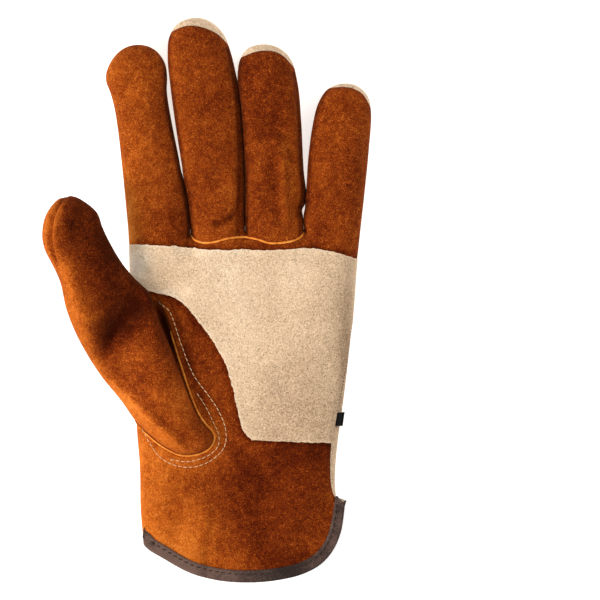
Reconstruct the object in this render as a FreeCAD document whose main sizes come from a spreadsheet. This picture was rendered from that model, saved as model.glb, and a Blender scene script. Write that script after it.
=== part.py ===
"""Left-hand suede work glove, lying on its back with the palm up.

The fingers point along +Y, the thumb side is -X and the palm faces +Z. The glove is cut in the
gunn pattern: one brown palm panel runs on into the index and little finger, the two middle
fingers are sewn on at a welted seam, a keystone thumb is set into the palm, and one beige panel
covers the back. Every digit is a hollow leather tube that bends at two creases, and the cuff
bends at the wrist. Lengths are millimetres.
"""

import FreeCAD, Part
import math
import os
import Sketcher

Vector = FreeCAD.Vector
Placement = FreeCAD.Placement
Rotation = FreeCAD.Rotation
Z_AXIS = Vector(0, 0, 1)

# ---------------------------------------------------------------- driving dimensions
DIMS = {
    "depth": 20.0,  # outside depth of every tube, palm face to back
    "rounding": 8.0,  # outside radius along the sides of every tube
    "leather": 1.4,
    "tape": 0.7,  # thickness of the hem tape
    "tape_width": 5.6,
    "gap": 0.3,  # half the slit between two segments, behind the bend line
    "crease": 4.2,  # half the notch in the palm side at a bend line
    "bend_height": 14.5,  # height of every bend line over the back
    "side_band": 4.0,  # half the width of the strip between two fingers
    "wrist_y": -88.0,
    "palm_end": 44.0,
    "hand_left_low": -31.6,
    "hand_left_high": -37.7,
    "hand_right_low": 60.4,
    "hand_right_high": 72.8,
    "index_x": -23.0,
    "index_y": 37.5,
    "index_mid": 64.0,
    "index_base_radius": 14.0,
    "index_tip_radius": 13.6,
    "index_tip_x": -32.9,
    "index_tip_y": 119.8,
    "middle_x": 4.9,
    "middle_y": 40.0,
    "middle_mid": 69.0,
    "middle_base_radius": 12.3,
    "middle_tip_radius": 14.5,
    "middle_tip_x": -2.6,
    "middle_tip_y": 132.5,
    "ring_x": 31.8,
    "ring_y": 40.0,
    "ring_mid": 65.0,
    "ring_base_radius": 12.9,
    "ring_tip_radius": 13.3,
    "ring_tip_x": 28.0,
    "ring_tip_y": 119.8,
    "little_x": 58.8,
    "little_y": 36.5,
    "little_mid": 58.0,
    "little_base_radius": 13.2,
    "little_tip_radius": 13.2,
    "little_tip_x": 65.0,
    "little_tip_y": 101.5,
    "thumb_x": -27.3,
    "thumb_y": -39.9,
    "thumb_height": 19.0,
    "thumb_yaw": 26.0,
    "thumb_pitch": 8.0,
    "thumb_roll": 18.0,
    "thumb_start": -18.0,  # centre of the round lower end, along the thumb
    "thumb_base_radius": 17.0,
    "thumb_tip_radius": 13.4,
    "thumb_reach": 98.0,  # along the thumb, from its origin to the tip
    "thumb_bend": 50.0,
    "thumb_tip_bend": 73.0,
    "hem_centre_x": 20.0,
    "hem_centre_y": -60.1,
    "hem_radius": 72.4,
    "corner_centre_y": -108.5,
    "corner_radius": 18.0,
    "vent_x": 64.8,
    "vent_y": -94.0,
    "base_seam_y": 30.0,  # where the two middle fingers are sewn to the palm
    "welt_width": 1.4,
    "welt_height": 1.0,
    "elastic_y": -57.0,
    "elastic_length": 64.0,
    "elastic_width": 8.0,
    "elastic_thickness": 1.0,
    "tab_width": 5.0,
    "tab_reach": 4.5,
    "tab_thickness": 1.4,
    "stitch_length": 2.0,
    "stitch_width": 0.6,
    "stitch_height": 0.4,
    "stitch_pitch": 3.2,
}
FINGERS = ("index", "middle", "ring", "little")
NEIGHBOURS = {
    "index": ("middle",),
    "middle": ("index", "ring"),
    "ring": ("middle", "little"),
    "little": ("ring",),
}
FAR = 40.0  # how far a trimming block reaches past what it trims

doc = FreeCAD.newDocument("glove")
sheet = doc.addObject("Spreadsheet::Sheet", "dims")
for line, (alias, number) in enumerate(DIMS.items(), 1):
    sheet.set(f"A{line}", alias)
    sheet.set(f"B{line}", str(number))
    sheet.setAlias(f"B{line}", alias)
doc.recompute()
nodes = []


def size(alias):
    """The value of one cell of the sheet."""
    return float(getattr(sheet, alias))


# ---------------------------------------------------------------- building helpers
def new_sketch(name):
    """A body with an empty sketch on its own XY plane."""
    body = doc.addObject("PartDesign::Body", name)
    sketch = body.newObject("Sketcher::SketchObject", name + "_outline")
    plane = next(f for f in body.Origin.OriginFeatures if f.Role == "XY_Plane")
    sketch.AttachmentSupport = [(plane, "")]
    sketch.MapMode = "FlatFace"
    return body, sketch


def bind(sketch, kind, geometry, expression, start):
    """Adds one dimension to a sketch and ties it to the sheet."""
    number = sketch.addConstraint(Sketcher.Constraint(kind, *geometry, start))
    sketch.setExpression(f"Constraints[{number}]", expression)


def thicken(body, sketch, depth, rounding, rounded=None):
    """Pads the sketch to both sides of its plane and rounds the edges of both faces.

    rounded picks the edges to round, from each edge of the two faces. The default is all.
    """
    pad = body.newObject("PartDesign::Pad", body.Name + "_pad")
    pad.Profile = sketch
    pad.Midplane = True
    pad.setExpression("Length", depth)
    doc.recompute()
    flat = [
        (number, edge)
        for number, edge in enumerate(pad.Shape.Edges, 1)
        if edge.BoundBox.ZLength < 1e-6
    ]
    wanted = [f"Edge{n}" for n, edge in flat if rounded is None or rounded(edge)]
    if wanted:
        fillet = body.newObject("PartDesign::Fillet", body.Name + "_rounding")
        fillet.Base = (pad, wanted)
        fillet.setExpression("Radius", rounding)
        body.Tip = fillet
    doc.recompute()
    return body


def slot_arcs(base_radius, tip_radius, start, reach):
    """The outline of a tapered slot along Y, as two arcs and their two common tangents."""
    low = Vector(0, start, 0)
    high = Vector(0, reach, 0)
    lean = math.asin((base_radius - tip_radius) / (reach - start))
    side = Vector(math.cos(lean), math.sin(lean), 0)
    other = Vector(-side.x, side.y, 0)
    base_arc = Part.ArcOfCircle(
        Part.Circle(low, Z_AXIS, base_radius), math.pi - lean, 2 * math.pi + lean
    )
    tip_arc = Part.ArcOfCircle(
        Part.Circle(high, Z_AXIS, tip_radius), lean, math.pi - lean
    )
    right = Part.LineSegment(low + side * base_radius, high + side * tip_radius)
    left = Part.LineSegment(high + other * tip_radius, low + other * base_radius)
    return [base_arc, right, tip_arc, left]


def slot_solid(name, base_radius, tip_radius, start, reach, depth, rounding):
    """A tapered slot along Y with rounded edges.

    Each radius and place is a pair: its value now, and the expression that drives it. start and
    reach are the Y of the centres of the base arc and of the tip arc.
    """
    body, sketch = new_sketch(name)
    for part in slot_arcs(base_radius[0], tip_radius[0], start[0], reach[0]):
        sketch.addGeometry(part)
    make = Sketcher.Constraint
    sketch.addConstraint(
        [make("Tangent", k, 2, (k + 1) % 4, 1) for k in range(4)]
        + [make("PointOnObject", 0, 3, -2), make("PointOnObject", 2, 3, -2)]
    )
    bind(sketch, "Radius", (0,), base_radius[1], base_radius[0])
    bind(sketch, "Radius", (2,), tip_radius[1], tip_radius[0])
    bind(sketch, "DistanceY", (-1, 1, 0, 3), start[1], start[0])
    bind(sketch, "DistanceY", (-1, 1, 2, 3), reach[1], reach[0])
    return thicken(body, sketch, depth, rounding)


def outline_solid(name, corners, depth, rounding, rounded=None):
    """A pad on a straight-sided outline. Each corner is (x, y, x expression, y expression)."""
    body, sketch = new_sketch(name)
    count = len(corners)
    points = [Vector(c[0], c[1], 0) for c in corners]
    for k in range(count):
        sketch.addGeometry(Part.LineSegment(points[k], points[(k + 1) % count]))
    make = Sketcher.Constraint
    sketch.addConstraint(
        [make("Coincident", k, 2, (k + 1) % count, 1) for k in range(count)]
    )
    for k, (x, y, x_expression, y_expression) in enumerate(corners):
        bind(sketch, "DistanceX", (-1, 1, k, 1), x_expression, x)
        bind(sketch, "DistanceY", (-1, 1, k, 1), y_expression, y)
    return thicken(body, sketch, depth, rounding, rounded)


def block(name, x, y, z, frame=None):
    """A box between three pairs of expressions, in the glove's frame or in that of a body."""
    box = doc.addObject("Part::Box", name)
    for side, (low, high) in zip(("Length", "Width", "Height"), (x, y, z)):
        box.setExpression(side, f"({high}) - ({low})")
    corner = f"placement(vector({x[0]}; {y[0]}; {z[0]}); rotation(vector(0; 0; 1); 0))"
    if frame is not None:
        corner = f"{frame.Name}.Placement * {corner}"
    box.setExpression("Placement", corner)
    return box


def cut(name, base, tool):
    made = doc.addObject("Part::Cut", name)
    made.Base = base
    made.Tool = tool
    return made


def common(name, base, tool):
    made = doc.addObject("Part::Common", name)
    made.Base = base
    made.Tool = tool
    return made


def fuse(name, parts):
    made = doc.addObject("Part::MultiFuse", name)
    made.Shapes = parts
    return made


def node(label, made):
    """Marks a finished object as one sub-part of the glove."""
    made.Label = label
    nodes.append(made)
    return made


def pair(alias):
    return size(alias), f"dims.{alias}"


# ---------------------------------------------------------------- tubes of the digits
def finger_tube(name):
    """The hollow leather tube of one finger, closed at the tip."""
    run_x = size(name + "_tip_x") - size(name + "_x")
    run_y = size(name + "_tip_y") - size(name + "_y")
    length = math.hypot(run_x, run_y)
    run = (
        f"sqrt((dims.{name}_tip_x - dims.{name}_x)^2 + (dims.{name}_tip_y - dims.{name}_y)^2)"
    )
    lean = f"atan2(dims.{name}_x - dims.{name}_tip_x; dims.{name}_tip_y - dims.{name}_y)"
    solids = []
    for suffix, wall in (("outside", 0.0), ("inside", size("leather"))):
        less = " - dims.leather" if wall else ""
        less_depth = " - 2 * dims.leather" if wall else ""
        tip = size(name + "_tip_radius")
        body = slot_solid(
            f"{name}_{suffix}",
            (size(name + "_base_radius") - wall, f"dims.{name}_base_radius{less}"),
            (tip - wall, f"dims.{name}_tip_radius{less}"),
            (0.0, "0"),
            (length - tip, f"{run} - dims.{name}_tip_radius"),
            f"dims.depth{less_depth}",
            f"dims.rounding{less}",
        )
        body.setExpression(
            "Placement",
            f"placement(vector(dims.{name}_x; dims.{name}_y; dims.depth / 2); "
            f"rotation(vector(0; 0; 1); {lean}))",
        )
        solids.append(body)
    return cut(f"{name}_tube", *solids)


def thumb_solid(suffix, wall):
    """The thumb's outer or inner form, in its own tilted frame."""
    less = " - dims.leather" if wall else ""
    less_depth = " - 2 * dims.leather" if wall else ""
    tip = size("thumb_tip_radius")
    body = slot_solid(
        f"thumb_{suffix}",
        (size("thumb_base_radius") - wall, f"dims.thumb_base_radius{less}"),
        (tip - wall, f"dims.thumb_tip_radius{less}"),
        pair("thumb_start"),
        (size("thumb_reach") - tip, "dims.thumb_reach - dims.thumb_tip_radius"),
        f"dims.depth{less_depth}",
        f"dims.rounding{less}",
    )
    body.setExpression(
        "Placement",
        "placement(vector(dims.thumb_x; dims.thumb_y; dims.thumb_height); "
        "rotation(vector(0; 0; 1); dims.thumb_yaw) * rotation(vector(1; 0; 0); dims.thumb_pitch)"
        " * rotation(vector(0; 1; 0); dims.thumb_roll))",
    )
    return body


def finger_pieces(name):
    """Front, back and side strips of one finger, each cut in two at the middle crease."""
    tube = finger_tube(name)
    middle_x = f"(dims.{name}_x + dims.{name}_tip_x) / 2"
    wide = {
        "left": (f"dims.{name}_x - {FAR}", middle_x),
        "right": (middle_x, f"dims.{name}_x + {FAR}"),
    }
    both = (wide["left"][0], wide["right"][1])
    rows = {
        "lower": (f"dims.{name}_y", f"dims.{name}_mid"),
        "upper": (f"dims.{name}_mid", f"dims.{name}_tip_y + {FAR}"),
    }
    band = ("dims.depth / 2 - dims.side_band", "dims.depth / 2 + dims.side_band")
    whole = (f"dims.{name}_y - {FAR}", f"dims.{name}_tip_y + {FAR}")
    strips = {}
    for other in NEIGHBOURS[name]:
        side = "left" if size(other + "_x") < size(name + "_x") else "right"
        strips[other] = wide[side]
    bands = [
        block(f"{name}_{other}_band", x, whole, band) for other, x in strips.items()
    ]
    tool = bands[0] if len(bands) == 1 else fuse(f"{name}_bands", bands)
    open_tube = cut(f"{name}_open_tube", tube, tool)
    for row, (low, high) in rows.items():
        notch = (f"{low} + dims.crease", f"{high} - dims.crease")
        slit = (f"{low} + dims.gap", f"{high} - dims.gap")
        front = block(
            f"{name}_{row}_front_zone", both, notch, ("dims.depth / 2", "dims.depth + 1")
        )
        back = block(f"{name}_{row}_back_zone", both, slit, ("-1", "dims.depth / 2"))
        node(f"{name}_front_{row}", common(f"{name}_front_{row}", open_tube, front))
        node(f"{name}_back_{row}", common(f"{name}_back_{row}", open_tube, back))
        for other, x in strips.items():
            zone = block(f"{name}_{row}_{other}_zone", x, slit, band)
            label = f"{name}_fourchette_{other}_side_{row}"
            node(label, common(label, tube, zone))


# ---------------------------------------------------------------- hand
def hand_solid(name, grow, depth, rounding, ends):
    """The palm region as a tapered block, larger than the glove's palm by grow each side."""
    low, high = size("wrist_y") - ends, size("palm_end") + ends
    low_y, high_y = f"dims.wrist_y - {ends}", f"dims.palm_end + {ends}"
    corners = [
        (size("hand_left_low") - grow[0], low, f"dims.hand_left_low - {grow[1]}", low_y),
        (size("hand_right_low") + grow[0], low, f"dims.hand_right_low + {grow[1]}", low_y),
        (size("hand_right_high") + grow[0], high, f"dims.hand_right_high + {grow[1]}", high_y),
        (size("hand_left_high") - grow[0], high, f"dims.hand_left_high - {grow[1]}", high_y),
    ]
    body = outline_solid(
        name, corners, depth, rounding, lambda edge: edge.BoundBox.YLength > 50
    )
    body.setExpression("Placement.Base.z", "dims.depth / 2")
    return body


def finger_rows():
    """Each finger's share of the palm's width, as a pair of expressions."""
    edges = ["dims.hand_left_high - 10"]
    for one, two in zip(FINGERS, FINGERS[1:]):
        edges.append(
            f"(dims.{one}_x + dims.{one}_base_radius + dims.{two}_x - dims.{two}_base_radius) / 2"
        )
    edges.append("dims.hand_right_high + 10")
    return dict(zip(FINGERS, zip(edges, edges[1:])))


def palm_zone(name, margin, z):
    """The palm region up to a stepped line, one step for each finger."""
    low = f"dims.wrist_y + {margin}"
    steps = [
        block(f"{name}_{f}", x, (low, f"dims.{f}_y - {margin}"), z)
        for f, x in finger_rows().items()
    ]
    return fuse(name, steps)


def hand_pieces(thumb_outside, thumb_inside):
    """The palm and back panels, the two-finger root, the patch, and the thumb's base."""
    outside = hand_solid("hand_outside", (0.0, "0"), "dims.depth", "dims.rounding", 0)
    inside = hand_solid(
        "hand_inside",
        (-size("leather"), "(-dims.leather)"),
        "dims.depth - 2 * dims.leather",
        "dims.rounding - dims.leather",
        2,
    )
    shell = cut("hand_shell", outside, inside)
    upper = ("dims.depth / 2", "dims.depth + 1")
    lower = ("-1", "dims.depth / 2")
    front = common("palm_blank", shell, palm_zone("front_zone", "dims.crease", upper))
    rows = finger_rows()
    roots = block(
        "root_zone",
        (rows["middle"][0], rows["ring"][1]),
        ("dims.base_seam_y", "dims.palm_end"),
        upper,
    )
    open_palm = cut("palm_with_thumb_hole", front, thumb_inside)
    node("palm_panel", cut("palm_panel", open_palm, roots))
    node("middle_ring_front_root", common("middle_ring_front_root", front, roots))
    back = common("back_blank", shell, palm_zone("back_zone", "dims.gap", lower))
    node("hand_back_panel", cut("hand_back_panel", back, thumb_inside))
    patch(outside, thumb_outside)
    base_welt()
    thumb_base(outside, thumb_outside, thumb_inside)


def patch(outside, thumb_outside):
    """The beige second layer over the palm, wrapped round both sides of the hand."""
    grown = hand_solid(
        "patch_outside",
        (size("leather"), "dims.leather"),
        "dims.depth + 2 * dims.leather",
        "dims.rounding + dims.leather",
        0,
    )
    layer = cut("patch_layer", grown, outside)
    body, sketch = new_sketch("patch_cut")
    straight = [
        Vector(14.1, -61.1, 0),
        Vector(17.0, -65.0, 0),
        Vector(85.0, -65.0, 0),
        Vector(85.0, 19.0, 0),
        Vector(-50.0, 25.8, 0),
        Vector(-50.0, 8.0, 0),
        Vector(-24.0, 4.5, 0),
    ]
    for one, two in zip(straight, straight[1:]):
        sketch.addGeometry(Part.LineSegment(one, two))
    curve = Part.Arc(straight[-1], Vector(1.5, -22.0, 0), straight[0])
    sketch.addGeometry(curve)
    body = thicken(body, sketch, "3 * dims.depth", "1", lambda edge: False)
    upper = block(
        "patch_zone",
        ("-100", "100"),
        ("dims.wrist_y", "dims.palm_end"),
        ("dims.depth / 2", "2 * dims.depth"),
    )
    trimmed = common("patch_trimmed", common("patch_upper", layer, upper), body)
    node("palm_patch", cut("palm_patch", trimmed, thumb_outside))


def base_welt():
    """The raised leather edge across the roots of the two middle fingers."""
    strip = block(
        "finger_base_welt",
        ("dims.middle_x - dims.middle_base_radius", "dims.ring_x + dims.ring_base_radius"),
        ("dims.base_seam_y - dims.welt_width / 2", "dims.base_seam_y + dims.welt_width / 2"),
        ("dims.depth", "dims.depth + dims.welt_height"),
    )
    node("finger_base_welt", strip)


def thumb_base(outside, thumb_outside, thumb_inside):
    """The keystone thumb: base on the palm, then two segments that bend."""
    tube = cut("thumb_tube", thumb_outside, thumb_inside)
    clear = cut("thumb_clear_tube", tube, outside)
    x = ("-2 * dims.thumb_base_radius", "2 * dims.thumb_base_radius")
    rows = {
        "base": (f"dims.thumb_start - {FAR}", "dims.thumb_bend"),
        "lower": ("dims.thumb_bend", "dims.thumb_tip_bend"),
        "upper": ("dims.thumb_tip_bend", f"dims.thumb_reach + {FAR}"),
    }
    for row, (low, high) in rows.items():
        for face, margin, z in (
            ("front", "dims.crease", ("0", "dims.depth")),
            ("back", "dims.gap", ("-dims.depth", "0")),
        ):
            y = (f"{low} + {margin}", f"{high} - {margin}")
            zone = block(f"thumb_{row}_{face}_zone", x, y, z, thumb_outside)
            name = f"thumb_{face}_{row}"
            node(name, common(name, clear if row == "base" else tube, zone))


def flat_slot(name, grow, height):
    """The thumb's plan outline grown by grow, lying on the palm, height thick."""
    body, sketch = new_sketch(name)
    base, tip = size("thumb_base_radius") + grow, size("thumb_tip_radius") + grow
    start, reach = size("thumb_start"), size("thumb_reach") - size("thumb_tip_radius")
    for part in slot_arcs(base, tip, start, reach):
        sketch.addGeometry(part)
    make = Sketcher.Constraint
    sketch.addConstraint([make("Tangent", k, 2, (k + 1) % 4, 1) for k in range(4)])
    bind(sketch, "Radius", (0,), f"dims.thumb_base_radius + {grow}", base)
    pad = body.newObject("PartDesign::Pad", name + "_pad")
    pad.Profile = sketch
    pad.setExpression("Length", height)
    body.setExpression(
        "Placement",
        "placement(vector(dims.thumb_x; dims.thumb_y; dims.depth); "
        "rotation(vector(0; 0; 1); dims.thumb_yaw))",
    )
    return body


def thumb_welt(thumb_outside):
    """The raised edge round the foot of the thumb."""
    ring = cut(
        "welt_ring",
        flat_slot("welt_outside", size("welt_width") + 0.6, "dims.welt_height"),
        flat_slot("welt_inside", 0.6, "dims.welt_height"),
    )
    zone = block(
        "welt_zone",
        ("-7", "40"),
        ("-60", "26"),
        ("0", "3 * dims.depth"),
        thumb_outside,
    )
    side = common("welt_side", ring, zone)
    node("thumb_base_welt", cut("thumb_base_welt", side, thumb_outside))


# ---------------------------------------------------------------- cuff
def cuff_solid(name, grow, left, depth, rounding, round_left=True):
    """The cuff's plan, with its curved hem and rounded vent corner, grown by grow."""
    body, sketch = new_sketch(name)
    hem = size("hem_radius") + grow
    corner = size("corner_radius") + grow
    centre = Vector(size("hem_centre_x"), size("hem_centre_y"), 0)
    reach = size("hem_radius") - size("corner_radius")
    drop = centre.y - size("corner_centre_y")
    corner_centre = Vector(
        centre.x + math.sqrt(reach**2 - drop**2), size("corner_centre_y"), 0
    )
    turn = math.atan2(corner_centre.y - centre.y, corner_centre.x - centre.x)
    start = math.acos((left - centre.x) / hem)
    join = centre + Vector(math.cos(turn), math.sin(turn), 0) * hem
    first = centre + Vector(math.cos(start), -math.sin(start), 0) * hem
    side = corner_centre + Vector(corner, 0, 0)
    vent = Vector(size("vent_x") + grow, size("vent_y"), 0)
    top_right = Vector(size("hand_right_low") + grow, size("wrist_y"), 0)
    top_left = Vector(left, size("wrist_y"), 0)
    sketch.addGeometry(Part.ArcOfCircle(Part.Circle(centre, Z_AXIS, hem), -start, turn))
    sketch.addGeometry(Part.ArcOfCircle(Part.Circle(corner_centre, Z_AXIS, corner), turn, 0))
    chain = [side, vent, top_right, top_left, first]
    for one, two in zip(chain, chain[1:]):
        sketch.addGeometry(Part.LineSegment(one, two))
    make = Sketcher.Constraint
    sketch.addConstraint(
        [make("Coincident", 0, 2, 1, 1), make("Coincident", 1, 2, 2, 1)]
        + [make("Coincident", k, 2, k + 1, 1) for k in (2, 3, 4)]
        + [make("Coincident", 5, 2, 0, 1), make("Vertical", 5), make("Horizontal", 4)]
    )
    bind(sketch, "DistanceX", (-1, 1, 0, 3), "dims.hem_centre_x", centre.x)
    bind(sketch, "DistanceY", (-1, 1, 0, 3), "dims.hem_centre_y", centre.y)
    bind(sketch, "Radius", (0,), f"dims.hem_radius + {grow}", hem)
    bind(sketch, "DistanceX", (-1, 1, 4, 2), str(left), left)
    bind(sketch, "DistanceY", (-1, 1, 4, 2), "dims.wrist_y", top_left.y)
    bind(sketch, "DistanceX", (-1, 1, 2, 2), f"dims.vent_x + {grow}", vent.x)
    bind(sketch, "DistanceY", (-1, 1, 2, 2), "dims.vent_y", vent.y)
    bind(sketch, "DistanceX", (-1, 1, 3, 2), f"dims.hand_right_low + {grow}", top_right.x)
    body = thicken(
        body,
        sketch,
        depth,
        rounding,
        (lambda edge: edge.BoundBox.XMax < left + 1) if round_left else (lambda edge: False),
    )
    body.setExpression("Placement.Base.z", "dims.depth / 2")
    return body


def cuff_room(name, wall, less):
    """The space inside the cuff, open at the hem and at the vent."""
    left = size("hand_left_low") + wall
    far = 120.0
    corners = [
        (left, -2 * far, f"dims.hand_left_low + {wall}", f"{-2 * far}"),
        (far, -2 * far, f"{far}", f"{-2 * far}"),
        (far, -far / 2, f"{far}", f"{-far / 2}"),
        (left, -far / 2, f"dims.hand_left_low + {wall}", f"{-far / 2}"),
    ]
    body = outline_solid(
        name,
        corners,
        f"dims.depth - 2 * ({less})",
        f"dims.rounding - ({less})",
        lambda edge: edge.BoundBox.XMax < left + 1,
    )
    body.setExpression("Placement.Base.z", "dims.depth / 2")
    return body


def cuff_pieces():
    """The cuff's two panels and the folded tape that binds the hem and the vent."""
    left = size("hand_left_low")
    tape, leather = size("tape"), size("leather")
    outside = cuff_solid(
        "cuff_outside",
        -tape,
        left + tape,
        "dims.depth - 2 * dims.tape",
        "dims.rounding - dims.tape",
    )
    inside = cuff_room("cuff_inside", tape + leather, "dims.tape + dims.leather")
    shell = cut("cuff_shell", outside, inside)
    x = ("-100", "100")
    top = f"dims.wrist_y - dims.hem_radius - {FAR}"
    for face, margin, z in (
        ("front", "dims.crease", ("dims.depth / 2", "dims.depth + 1")),
        ("back", "dims.gap", ("-1", "dims.depth / 2")),
    ):
        zone = block(f"cuff_{face}_zone", x, (top, f"dims.wrist_y - {margin}"), z)
        node(f"cuff_{face}_panel", common(f"cuff_{face}_panel", shell, zone))
    wrapped = cuff_solid("tape_outside", 0.0, left, "dims.depth", "dims.rounding")
    hollow = cuff_room(
        "tape_inside", 2 * tape + leather, "2 * dims.tape + dims.leather"
    )
    core = cuff_solid(
        "tape_core", -size("tape_width"), left - 4, "3 * dims.depth", "1", False
    )
    band = cut("tape_band", cut("tape_shell", wrapped, hollow), core)
    loop = cut("tape_loop", band, outside_less_room(outside, inside))
    zone = block("tape_zone", x, (top, "dims.vent_y - dims.gap"), ("-1", "dims.depth + 1"))
    node("hem_binding", common("hem_binding", loop, zone))


def outside_less_room(outside, inside):
    """The leather of the cuff again, as the tool that hollows the tape."""
    return cut("cuff_leather", outside, inside)


# ---------------------------------------------------------------- small parts
def stitch_row(label, edges, height):
    """A row of separate stitches that lie on a flat face along a path."""
    long, wide, high = (size("stitch_" + s) for s in ("length", "width", "height"))
    stitches = []
    path = Part.Wire(edges)
    points = path.discretize(Distance=size("stitch_pitch"))
    for one, two in zip(points, points[1:]):
        stitch = Part.makeBox(long, wide, high, Vector(-long / 2, -wide / 2, 0))
        turn = math.degrees(math.atan2(two.y - one.y, two.x - one.x))
        middle = (one + two) * 0.5
        stitch.Placement = Placement(Vector(middle.x, middle.y, height), Rotation(Z_AXIS, turn))
        stitches.append(stitch)
    row = doc.addObject("Part::Feature", label)
    row.Shape = Part.makeCompound(stitches)
    return node(label, row)


def arc_through(*points):
    return Part.Arc(*[Vector(x, y, 0) for x, y in points]).toShape()


def thumb_stitches():
    """Two rows of topstitching on the palm, outside the foot of the thumb."""
    frame = Placement(
        Vector(size("thumb_x"), size("thumb_y"), 0), Rotation(Z_AXIS, size("thumb_yaw"))
    )
    start = size("thumb_start")
    for label, grow, first in (("inner", 3.8, 22.0), ("outer", 6.8, 4.0)):
        radius = size("thumb_base_radius") + grow
        side = Part.LineSegment(Vector(radius, first, 0), Vector(radius, start, 0))
        foot = Part.Arc(
            Vector(radius, start, 0),
            Vector(0, start - radius, 0),
            Vector(-0.55 * radius, start - radius * math.sqrt(1 - 0.55**2), 0),
        )
        edges = [side.toShape(), foot.toShape()]
        for edge in edges:
            edge.transformShape(frame.toMatrix())
        stitch_row(f"thumb_topstitch_{label}", edges, size("depth"))


def hem_stitches():
    """The row that closes the tape over the hem, on the palm side."""
    centre = Vector(size("hem_centre_x"), size("hem_centre_y"), 0)
    radius = size("hem_radius") - 0.7 * size("tape_width")
    circle = Part.Circle(centre, Z_AXIS, radius)
    first, last = math.radians(-128), math.radians(-66)
    stitch_row("hem_stitches", [Part.ArcOfCircle(circle, first, last).toShape()], size("depth"))


def patch_stitches():
    """The row just inside the patch's top edge."""
    height = size("depth") + size("leather")
    row = Part.LineSegment(Vector(-27, 19.5, 0), Vector(60, 15.2, 0))
    stitch_row("patch_stitches", [row.toShape()], height)


def elastic():
    """The flat elastic that gathers the back at the wrist, inside the glove, and its stitches."""
    middle = "(dims.hand_left_low + dims.hand_right_low) / 2"
    band = block(
        "wrist_elastic",
        (f"{middle} - dims.elastic_length / 2", f"{middle} + dims.elastic_length / 2"),
        (
            "dims.elastic_y - dims.elastic_width / 2",
            "dims.elastic_y + dims.elastic_width / 2",
        ),
        ("dims.leather", "dims.leather + dims.elastic_thickness"),
    )
    node("wrist_elastic", band)
    centre = (size("hand_left_low") + size("hand_right_low")) / 2
    half = size("elastic_length") / 2 - 2
    y = size("elastic_y")
    row = Part.LineSegment(Vector(centre - half, y, 0), Vector(centre + half, y, 0))
    height = size("leather") + size("elastic_thickness")
    stitch_row("elastic_stitches", [row.toShape()], height)


def side_tab():
    """The folded black tab in the little-finger side seam, level with the elastic."""
    slope = (size("hand_right_high") - size("hand_right_low")) / (
        size("palm_end") - size("wrist_y")
    )
    edge = (
        f"dims.hand_right_low + {slope} * (dims.elastic_y + dims.tab_width / 2 - dims.wrist_y)"
    )
    tab = block(
        "side_tab",
        (edge, f"{edge} + dims.tab_reach"),
        ("dims.elastic_y - dims.tab_width / 2", "dims.elastic_y + dims.tab_width / 2"),
        (
            "(dims.depth - dims.tab_thickness) / 2 - dims.tab_thickness",
            "(dims.depth - dims.tab_thickness) / 2",
        ),
    )
    node("side_tab", tab)


# ---------------------------------------------------------------- assembly
thumb_outside = thumb_solid("outside", 0.0)
thumb_inside = thumb_solid("inside", size("leather"))
hand_pieces(thumb_outside, thumb_inside)
thumb_welt(thumb_outside)
cuff_pieces()
for finger in FINGERS:
    finger_pieces(finger)
thumb_stitches()
hem_stitches()
patch_stitches()
elastic()
side_tab()
doc.recompute()

for made in doc.Objects:
    if {"Invalid", "Error"} & set(made.State):
        raise RuntimeError(f"{made.Name} failed: {made.State}")
os.makedirs("parts", exist_ok=True)
for made in nodes:
    shape = made.Shape
    if shape.isNull() or not shape.isValid() or not shape.Solids:
        raise RuntimeError(f"{made.Label} has no valid solid")
    shape.exportStep(f"parts/{made.Label}.step")
    print(made.Label, len(shape.Solids), round(shape.Volume, 1))
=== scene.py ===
"""Looks of a left-hand suede glove: soft leather panels, seams, stitches, hem tape and light.

Every shape is worked out in millimetres in the part's frame and turned to metres when its mesh
is made. The hand is one soft envelope, a top and a bottom sheet over one flat cutting plan, and
the thumb is another. Both are then cut along their seams into leather panels of real thickness.
"""

import math

import bpy
import numpy as np
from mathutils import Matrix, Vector, noise
from mathutils.bvhtree import BVHTree
from mathutils.geometry import delaunay_2d_cdt
from mathutils.kdtree import KDTree


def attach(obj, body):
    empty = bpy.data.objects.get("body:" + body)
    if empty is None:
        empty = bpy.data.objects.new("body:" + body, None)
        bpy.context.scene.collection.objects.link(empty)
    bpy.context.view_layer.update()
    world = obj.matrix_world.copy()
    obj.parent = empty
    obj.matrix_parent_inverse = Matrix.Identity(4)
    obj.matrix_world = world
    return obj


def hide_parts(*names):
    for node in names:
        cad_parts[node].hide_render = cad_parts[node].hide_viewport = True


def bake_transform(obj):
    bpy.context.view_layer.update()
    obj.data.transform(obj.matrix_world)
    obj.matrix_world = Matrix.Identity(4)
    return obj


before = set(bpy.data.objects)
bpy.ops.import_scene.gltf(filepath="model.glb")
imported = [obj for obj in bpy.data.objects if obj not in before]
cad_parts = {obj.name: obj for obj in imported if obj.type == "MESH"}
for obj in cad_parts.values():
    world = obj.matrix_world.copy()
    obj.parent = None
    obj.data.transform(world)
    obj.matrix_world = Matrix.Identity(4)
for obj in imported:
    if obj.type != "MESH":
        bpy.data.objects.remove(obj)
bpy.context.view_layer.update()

MM = 0.001
LEATHER = 1.25  # thickness of the panels
PATCH_LEATHER = 1.15
STEP = 1.15  # between points of an outline
GRID = 1.75  # size of the mesh's triangles away from seams
RINGS = (0.35, 0.9, 1.7, 2.7, 3.9, 5.4, 7.2, 9.3, 11.6)  # rows of points inside an outline

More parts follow.
